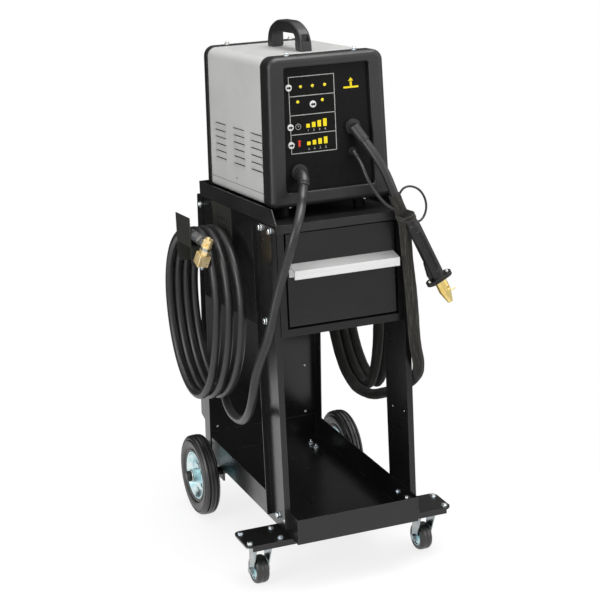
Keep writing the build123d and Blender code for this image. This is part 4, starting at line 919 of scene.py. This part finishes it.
def bolt_set():
    bm = bmesh.new()
    forward = basis(Vector((0, -1, 0)))
    down = basis(Vector((0, 0, -1)))
    for side, word in ((-1, "left"), (1, "right")):
        out = basis(Vector((side, 0, 0)))
        inward = basis(Vector((-side, 0, 0)))
        axle = pivot(word + "_wheel_spin")
        king = pivot(word + "_caster_swivel")
        for d, h in POST_BOLTS + FOOT_BOLTS:
            hex_bolt(bm, placed(LEAN @ Vector((side * POST_FACE, d, h)), out), *POST_BOLT)
        for d, h in FOOT_BOLTS:
            hex_bolt(bm, placed(LEAN @ Vector((side * POST_INSIDE, d, h)), inward), *POST_NUT)
        for z in PANEL_BOLTS:
            hex_bolt(bm, placed((side * POST_FACE, PANEL_Y, z), out), *PANEL_BOLT)
        for dx, dy in CASTER_BOLTS:
            hex_bolt(bm, placed((king.x + dx, king.y + dy, CASTER_BAR_TOP)), *CASTER_BOLT)
        for dy in BRACKET_HOLES:
            place = placed((side * BRACKET_X, axle.y + dy, TRAY_FLOOR))
            hex_bolt(bm, place, *AXLE_BOLT)
            lathe(bm, place, AXLE_BOLT_TIP, 20)
        lathe(bm, placed((side * AXLE_END, axle.y, axle.z), out), AXLE_WASHER, 40)
        for x, d in CASE_BOLTS:
            hex_bolt(bm, METRES @ LEAN @ Matrix.Translation((side * x, d, CASE_TOP)), *CASE_BOLT)
        x, d, h = CASE_FOOT
        hex_bolt(bm, METRES @ LEAN @ Matrix.Translation((side * x, d, h)) @ down, *FOOT_SCREW)
        for x, z in REAR_SCREWS:
            cross_screw(bm, placed((side * x, REAR_INSIDE, z), forward), *REAR_SCREW)
    back, front = FLANGE_Z
    for x in (-FLANGE_HOLE, FLANGE_HOLE):
        cross_screw(bm, METRES @ GUN_FRAME @ Matrix.Translation((x, 0, front)), *FLANGE_SCREW)
        hex_bolt(bm, METRES @ GUN_FRAME @ Matrix.Translation((x, 0, back)) @ down, *FLANGE_NUT)
    obj = add_piece("bolts_and_screws", bm, ZINC)
    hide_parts("fasteners")


bolt_set()
gun_ribs()


# Wheels: half sections as radius and half width

TYRE_HALF = (
    (59.0, 13.5), (60.2, 15.6), (62.6, 16.6), (65.0, 16.2), (66.0, 14.4), (67.4, 14.2), (68.6, 16.2),
    (72.0, 18.0), (77.0, 19.3), (82.0, 20.0), (86.0, 19.8), (88.0, 18.4), (89.0, 16.6), (90.4, 16.6),
    (91.6, 18.2), (94.2, 17.4), (96.8, 15.4), (98.6, 12.8), (99.0, 11.2), (97.2, 10.4), (95.4, 9.6),
    (95.4, 8.4), (97.4, 7.5), (99.6, 6.8), (100.0, 4.6), (99.9, 2.5), (98.4, 1.6), (97.2, 0.8),
)
CASTER_TREAD = (
    (21.5, 13.2), (22.2, 14.6), (24.0, 15.2), (27.0, 15.2), (29.6, 14.2),
    (31.4, 11.8), (32.3, 8.6), (32.5, 5.0), (32.5, 1.5), (31.9, 0.6),
)
CASTER_DISC = (
    (4.4, 16.2), (8.6, 16.2), (9.2, 15.6), (9.6, 12.6), (11.0, 11.4),
    (15.5, 10.6), (18.5, 11.6), (20.0, 13.6), (21.5, 13.9),
)
AXLE_CAP = (
    (10.3, 2.2), (13.2, 2.2), (13.6, 3.0), (13.6, 8.6),
    (12.9, 10.2), (11.4, 11.4), (10.3, 11.6), (10.3, 2.2),
)


def closed_ring(bm, place, half, sides):
    """A ring turned from half a section and its mirror image."""
    whole = list(half) + [(r, -z) for r, z in reversed(half)]
    lathe(bm, place, whole + [whole[0]], sides)
    bmesh.ops.remove_doubles(bm, verts=bm.verts, dist=1e-7)


def wheels():
    for side, word in ((-1, "left"), (1, "right")):
        out = basis(Vector((side, 0, 0)))
        axle = pivot(word + "_wheel_spin")
        bm = bmesh.new()
        closed_ring(bm, placed(axle, out), TYRE_HALF, 112)
        tyre = add_piece(word + "_ribbed_tyre", bm, TYRE, word + "_wheel")
        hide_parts(word + "_tyre")
        roller = placed(pivot(word + "_caster_roll"), out)
        bm = bmesh.new()
        closed_ring(bm, roller, CASTER_TREAD, 72)
        tread = add_piece(word + "_caster_tread", bm, TYRE, word + "_roller")
        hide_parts(word + "_caster_wheel")
        bm = bmesh.new()
        closed_ring(bm, roller, CASTER_DISC, 48)
        add_piece(word + "_caster_disc", bm, WHEEL_ZINC, word + "_roller")
        bm = bmesh.new()
        lathe(bm, placed((side * AXLE_END, axle.y, axle.z), out), AXLE_CAP, 40)
        add_piece(word + "_axle_cap", bm, GUN)


wheels()


# Earth clamp on the lead's lug, and the boots

JAW_HALF, JAW_GROOVE = 13.6, 0.55
HEX_CORNER = 12.6
FILM_WALL = 0.7
FILM_SIDES = 36
FILM = (
    (-16, 11.6, 11.6), (-13, 12.0, 12.0), (2, 12.6, 12.8), (16, 13.0, 12.6),
    (30, 13.2, 12.0), (42, 13.6, 10.6), (50, 14.0, 9.2), (54, 14.2, 8.8),
)
BOOT_RIB = ((-0.6, -1.1), (0.6, -0.7), (0.75, 0.0), (0.6, 0.7), (-0.6, 1.1))


def clamp_pieces():
    """The grooved jaw block with its stud, and the thumb nut on the stud's axis."""
    stud = Vector(JOINTS["thumb_nut_turn"]["axis"])
    place = placed(pivot("thumb_nut_turn"), basis(stud, Vector((1, 0, 0))))
    bm = bmesh.new()
    face = [(JAW_HALF - (JAW_GROOVE if j % 2 else 0.0), -12.0 + 2.0 * j) for j in range(13)]
    stack(bm, place, quarters(face), ((-44.5, 0.93), (-43.4, 1.0), (-17.0, 1.0), (-15.8, 0.94)))
    lathe(bm, place, ((9.5, -15.9), (9.5, -14.0)), 28)
    hexagon = [(HEX_CORNER * cos(a), HEX_CORNER * sin(a)) for a in angles(6)]
    stack(bm, place, hexagon, ((-14.1, 0.9), (-13.2, 1.0), (-3.6, 1.0), (-2.6, 0.92)))
    lathe(bm, place, ((4.0, -44.6), (4.0, -48.5), (1.4, -52.0), (0, -52.3)), 20)
    lathe(bm, place, ((3.9, 2.4), (3.9, 27.6), (3.2, 28.4), (0, 28.4)), 20)
    jaw = add_piece("clamp_jaw", bm, BRASS)
    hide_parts("earth_clamp")
    bm = bmesh.new()
    lathe(bm, place, ((4.3, 3.1), (11.6, 3.1), (12.0, 3.6), (12.0, 7.2), (11.2, 8.1), (4.3, 8.1)), 36)
    lobe = ((4.6, -3.2), (10.6, -3.2), (12.3, -2.2), (12.9, 0.0), (12.3, 2.2), (10.6, 3.2))
    stack(bm, place, quarters(lobe), ((7.6, 0.8), (9.4, 0.97), (16.0, 1.0), (21.6, 0.97), (23.6, 0.84)))
    nut = add_piece("clamp_thumb_nut", bm, BRASS, "clamp_nut")
    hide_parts("thumb_nut")


def lug_film():
    """A clear shrink sleeve over the lug's barrel, flattened towards the eye."""
    place = placed(EARTH_OUT / MM, basis(Vector((-0.0182, -0.9998, 0))))
    inner = [(z, rx - FILM_WALL, ry - FILM_WALL) for z, rx, ry in reversed(FILM)]
    bm = bmesh.new()
    rings = []
    for z, rx, ry in list(FILM) + inner:
        ring = [(rx * cos(a), ry * sin(a), z) for a in angles(FILM_SIDES)]
        rings.append([bm.verts.new(place @ Vector(p)) for p in ring])
    bridge(bm, rings, closed=True)
    add_piece("lug_clear_sleeve", bm, clear_film())


def boot_rings():
    """Moulded ribs towards the end of each boot."""
    boots = (
        (GUN_TIP, GUN_WAY, 11.5, 0.04, 3.4),
        (EARTH_TIP, EARTH_WAY, 12.3, 0.0, 3.4),
        (CONTROL_TIP, CONTROL_WAY, 4.6, 0.02, 2.4),
    )
    bm = bmesh.new()
    for tip, way, r, grow, pitch in boots:
        place = Matrix.Translation(tip) @ basis(way) @ METRES
        for k in range(3):
            s = 1.4 + k * pitch
            lathe(bm, place, [(r + grow * s + rise, dz - s) for rise, dz in BOOT_RIB], 36)
    add_piece("boot_ribs", bm, RUBBER)


clamp_pieces()
lug_film()
boot_rings()


# Seams, and painted shade in a hole and round the drawer

COVER_SEAM = (139.4, 139.78)
COVER_HOLE = (139.3, 251.8, 297.2)
DRAWER_SHADE_X = 134.4
DRAWER_SHADE_LOW, DRAWER_SHADE_HIGH = -4.4, 211.9
DRAWER_SHADE_WIDE = 3.1


def dark_lines():
    """The cover's seam on its base pan, a dark disc as painted shade in a blind hole, and black strips
    round the drawer as painted shadow in its gap.
    """
    place = METRES @ LEAN
    bm = bmesh.new()
    for side in (-1, 1):
        slab(bm, place, sorted(side * x for x in COVER_SEAM), (84, 414), 283.5, 284.4)
        # Painted shade: a dark disc stands in for the blind hole.
        x, d, h = COVER_HOLE
        spot = Matrix.Translation((side * x, d, h)) @ basis(Vector((side, 0, 0)))
        lathe(bm, place @ spot, ((2.2, -0.3), (2.2, 0.12), (1.8, 0.2), (0, 0.2)), 20)
    # Painted shadow: black strips round the drawer opening stand in for the shade in its gap.
    inner_low, inner_high = DRAWER_SHADE_LOW + DRAWER_SHADE_WIDE, DRAWER_SHADE_HIGH - DRAWER_SHADE_WIDE
    for h0, h1 in ((DRAWER_SHADE_LOW, inner_low), (inner_high, DRAWER_SHADE_HIGH)):
        slab(bm, place, (-DRAWER_SHADE_X, DRAWER_SHADE_X), (-0.35, 0.2), h0, h1)
    for x0, x1 in ((-DRAWER_SHADE_X, DRAWER_SHADE_WIDE - DRAWER_SHADE_X), (DRAWER_SHADE_X - DRAWER_SHADE_WIDE, DRAWER_SHADE_X)):
        slab(bm, place, (x0, x1), (-0.35, 0.2), inner_low, inner_high)
    add_piece("seams_and_painted_shade", bm, GAP, smooth=False)


dark_lines()


# Print on the control panel: X across and Y up its face

PANEL_FRONT = 45.95
FACE = METRES @ LEAN @ Matrix(((1, 0, 0, 0), (0, 0, -1, PANEL_FRONT), (0, 1, 0, 0), (0, 0, 0, 1)))
FRAME_X = (-86.7, 20.0)
FRAME_ROWS = (538.0, 496.0, 455.0, 413.0, 372.0)
LINE_HALF = 0.8
BAR_X, BAR_PITCH, BAR_HALF = -45.5, 13.4, 4.2
BAR_ROWS = ((426.0, 8.5, 2.7), (388.0, 7.6, 2.4))
CLOCK = (-68.6, 430.0)
CLOCK_RING = (5.6, 6.6)
CLOCK_SIDES = 24
KEY_TOP = 3.0
ARROW = ((5.4, 0), (0.8, 4.2), (0.8, 1.9), (-4.6, 1.9), (-4.6, -1.9), (0.8, -1.9), (0.8, -4.2))
DOUBLE_ARROW = (
    (5.8, 0), (1.6, 4.2), (1.6, 1.8), (-1.6, 1.8), (-1.6, 4.2),
    (-5.8, 0), (-1.6, -4.2), (-1.6, -1.8), (1.6, -1.8), (1.6, -4.2),
)
KEYS = (
    ("mode_key", -87.535, 515.638, ARROW),
    ("trigger_key", -32.0, 476.071, DOUBLE_ARROW),
    ("time_key", -87.39, 429.964, ARROW),
    ("power_key", -87.248, 391.051, ARROW),
)
LAMPS = ((-58.98, 515.97), (-31.0, 515.97), (-2.01, 515.97), (-67.01, 483.59), (-9.04, 483.59))
LENS = ((3.6, -0.2), (3.6, 0.5), (3.2, 0.8), (3.0, 0.8), (2.9, 1.0), (2.3, 1.6), (1.3, 2.0), (0, 2.15))


def stroke(bm, xs, ys):
    """A printed line, thinly raised."""
    slab(bm, FACE, xs, ys, -0.05, 0.16, 0.05)


def block(bm, xs, ys):
    """A printed block, a little thicker than a line."""
    slab(bm, FACE, xs, ys, -0.05, 0.2, 0.06)


def panel_lines():
    """A frame with dividers, a clock face, and ticks under the lower bars."""
    bm = bmesh.new()
    left, right = FRAME_X
    for h in FRAME_ROWS:
        stroke(bm, (left - LINE_HALF, right + LINE_HALF), (h - LINE_HALF, h + LINE_HALF))
    for x in FRAME_X:
        stroke(bm, (x - LINE_HALF, x + LINE_HALF), (FRAME_ROWS[-1], FRAME_ROWS[0]))
    x, h = CLOCK
    inside, outside = CLOCK_RING
    for a in angles(CLOCK_SIDES):
        b = a + tau / CLOCK_SIDES
        corners = ((inside, a), (outside, a), (outside, b), (inside, b))
        prism(bm, FACE, [(r * cos(t) + x, r * sin(t) + h) for r, t in corners], -0.05, 0.16)
    stroke(bm, (x - 0.4, x + 0.4), (h, h + 4.6))
    stroke(bm, (x, x + 3.4), (h - 0.4, h + 0.4))
    for k in range(4):
        x = BAR_X + BAR_PITCH * k
        stroke(bm, (x - 0.5, x + 0.5), (379.0, 382.0 + 0.7 * k))
        stroke(bm, (x - 2.2, x + 2.2), (378.2, 379.0))
    add_piece("panel_lines", bm, LINE_INK, smooth=False)


def panel_blocks():
    """Rising bars, a plain arrow over a line, and a red mark."""
    bm = bmesh.new()
    for base, tall, grow in BAR_ROWS:
        for k in range(4):
            x = BAR_X + BAR_PITCH * k
            block(bm, (x - BAR_HALF, x + BAR_HALF), (base, base + tall + grow * k))
    for outline in (((42, 503), (78, 503), (78, 507), (42, 507)),
                    ((57.6, 507.5), (62.4, 507.5), (62.4, 517), (57.6, 517)),
                    ((54, 518.5), (66, 518.5), (60, 526))):
        prism(bm, FACE, outline, -0.05, 0.2)
    add_piece("panel_bars", bm, YELLOW_INK, smooth=False)
    bm = bmesh.new()
    block(bm, (-70.0, -65.0), (386.5, 397.5))
    prism(bm, FACE, ((-72.5, 397.5), (-62.5, 397.5), (-67.5, 401.5)), -0.05, 0.2)
    add_piece("panel_mark", bm, ink("red_ink", (0.66, 0.05, 0.025)), smooth=False)


def numerals():
    """Plain numbers one to four under the upper bars."""
    for k in range(4):
        data = bpy.data.curves.new("number", "FONT")
        data.body = str(k + 1)
        data.size = 6.4
        data.align_x = "CENTER"
        data.extrude = 0.1
        text = add_object("number", data)
        mesh = bpy.data.meshes.new_from_object(text)
        bpy.data.objects.remove(text)
        mesh.transform(FACE @ Matrix.Translation((BAR_X + BAR_PITCH * k, 418.2, 0.1)))
        obj = add_object("panel_number_%d" % (k + 1), mesh)
        mesh.materials.clear()
        mesh.materials.append(WHITE_INK)
        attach(obj, "cart")


def key_arrows():
    """A black arrow on each key; the trigger key has a double one."""
    for body, x, h, outline in KEYS:
        bm = bmesh.new()
        prism(bm, FACE @ Matrix.Translation((x, h, KEY_TOP)), outline, -0.05, 0.14)
        add_piece(body + "_arrow", bm, BLACK_INK, body, smooth=False)


def lamp_lenses():
    bm = bmesh.new()
    for x, h in LAMPS:
        lathe(bm, FACE @ Matrix.Translation((x, h, 0)), LENS, 28)
    obj = add_piece("lamp_lenses", bm, FINISHES["lamp_yellow"])
    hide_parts("indicator_lamps")


panel_lines()
panel_blocks()
numerals()
key_arrows()
lamp_lenses()


# Floor, light and background

WORLD_LIGHT = 0.42
FLOOR_HALF = 14.0
LAMP_AIM = Vector((0, 0, 0.6))


def seen_rays(n):
    """One where the ray is a camera, glossy or transmission one, and one where it is glossy."""
    rays = n.node("LightPath").outputs
    seen = n.math("MAXIMUM", rays["Is Camera Ray"], rays["Is Glossy Ray"])
    return n.math("MAXIMUM", seen, rays["Is Transmission Ray"]), rays["Is Glossy Ray"]


def dimmed(n, glossy, place, way, low, high, depth):
    """White that, for glossy rays alone, falls by depth between two distances along a way."""
    along = n.vector_math("DOT_PRODUCT", place, way)
    fall = n.span(along, low, high, 0.0, depth, interpolation_type="SMOOTHSTEP")
    return n.math("SUBTRACT", 1.0, n.math("MULTIPLY", fall, glossy))


def mixed(n, factor, a, b):
    """A shader between two others."""
    return n.node("MixShader", {0: factor, 1: a.outputs[0], 2: b.outputs[0]})


def backdrop():
    """Even light; rays that show the background see white, dim behind the object for glossy ones."""
    world = bpy.data.worlds.new("studio")
    scene.world = world
    world.use_nodes = True
    n = Nodes(world.node_tree)
    plain = n.tree.nodes["Background"]
    plain.inputs["Color"].default_value = (1, 1, 1, 1)
    plain.inputs["Strength"].default_value = WORLD_LIGHT
    rays, glossy = seen_rays(n)
    place = n.node("TexCoord").outputs["Generated"]
    strength = dimmed(n, glossy, place, (-0.1, 1.0, -0.9), 0.05, 0.45, 0.97)
    white = n.node("Background", {"Color": (1, 1, 1, 1), "Strength": strength})
    n.feed(n.tree.nodes["World Output"].inputs["Surface"], mixed(n, rays, plain, white).outputs[0])


def floor():
    """A pale floor that keeps the object's shadow and turns white away from it."""
    bm = bmesh.new()
    bmesh.ops.create_grid(bm, x_segments=8, y_segments=8, size=FLOOR_HALF)
    mesh = bpy.data.meshes.new("floor")
    bm.to_mesh(mesh)
    bm.free()
    obj = add_object("floor", mesh)
    mat = bpy.data.materials.new("floor_white")
    mat.use_nodes = True
    n = Nodes(mat.node_tree)
    n.tree.nodes.remove(n.tree.nodes["Principled BSDF"])
    matte = n.node("BsdfDiffuse", {"Color": (0.86, 0.86, 0.86, 1)})
    faint = n.node("BsdfDiffuse", {"Color": (0.23, 0.23, 0.23, 1)})
    lift = n.node("Emission", {"Strength": 0.8})
    shadowed = n.node("AddShader", {0: faint.outputs[0], 1: lift.outputs[0]})
    place = n.node("TexCoord").outputs["Object"]
    fade = n.span(n.vector_math("LENGTH", place), 0.45, 1.0, interpolation_type="SMOOTHSTEP")
    rays, glossy = seen_rays(n)
    behind = dimmed(n, glossy, place, (-0.2, 1.0, 0.0), 1.05, 1.45, 0.97)
    aside = dimmed(n, glossy, place, (1.0, 0.0, 0.0), 0.72, 1.12, 0.5)
    glow = n.node("Emission", {"Strength": n.math("MULTIPLY", behind, aside)})
    whole = mixed(n, rays, matte, mixed(n, fade, shadowed, glow))
    n.feed(n.tree.nodes["Material Output"].inputs["Surface"], whole.outputs[0])
    mesh.materials.append(mat)


def lamp(name, place, size, power):
    data = bpy.data.lights.new(name, "AREA")
    data.shape = "RECTANGLE"
    data.size, data.size_y = size
    data.energy = power
    obj = add_object(name, data)
    obj.location = place
    way = LAMP_AIM - Vector(place)
    obj.rotation_euler = way.to_track_quat("-Z", "Y").to_euler()


backdrop()
floor()
lamp("key_left", (-2.9, -1.1, 1.75), (1.6, 2.2), 48)
lamp("top_soft", (0.3, -0.5, 3.4), (2.4, 2.0), 85)
lamp("fill_right", (2.2, -2.6, 1.6), (1.4, 1.8), 18)
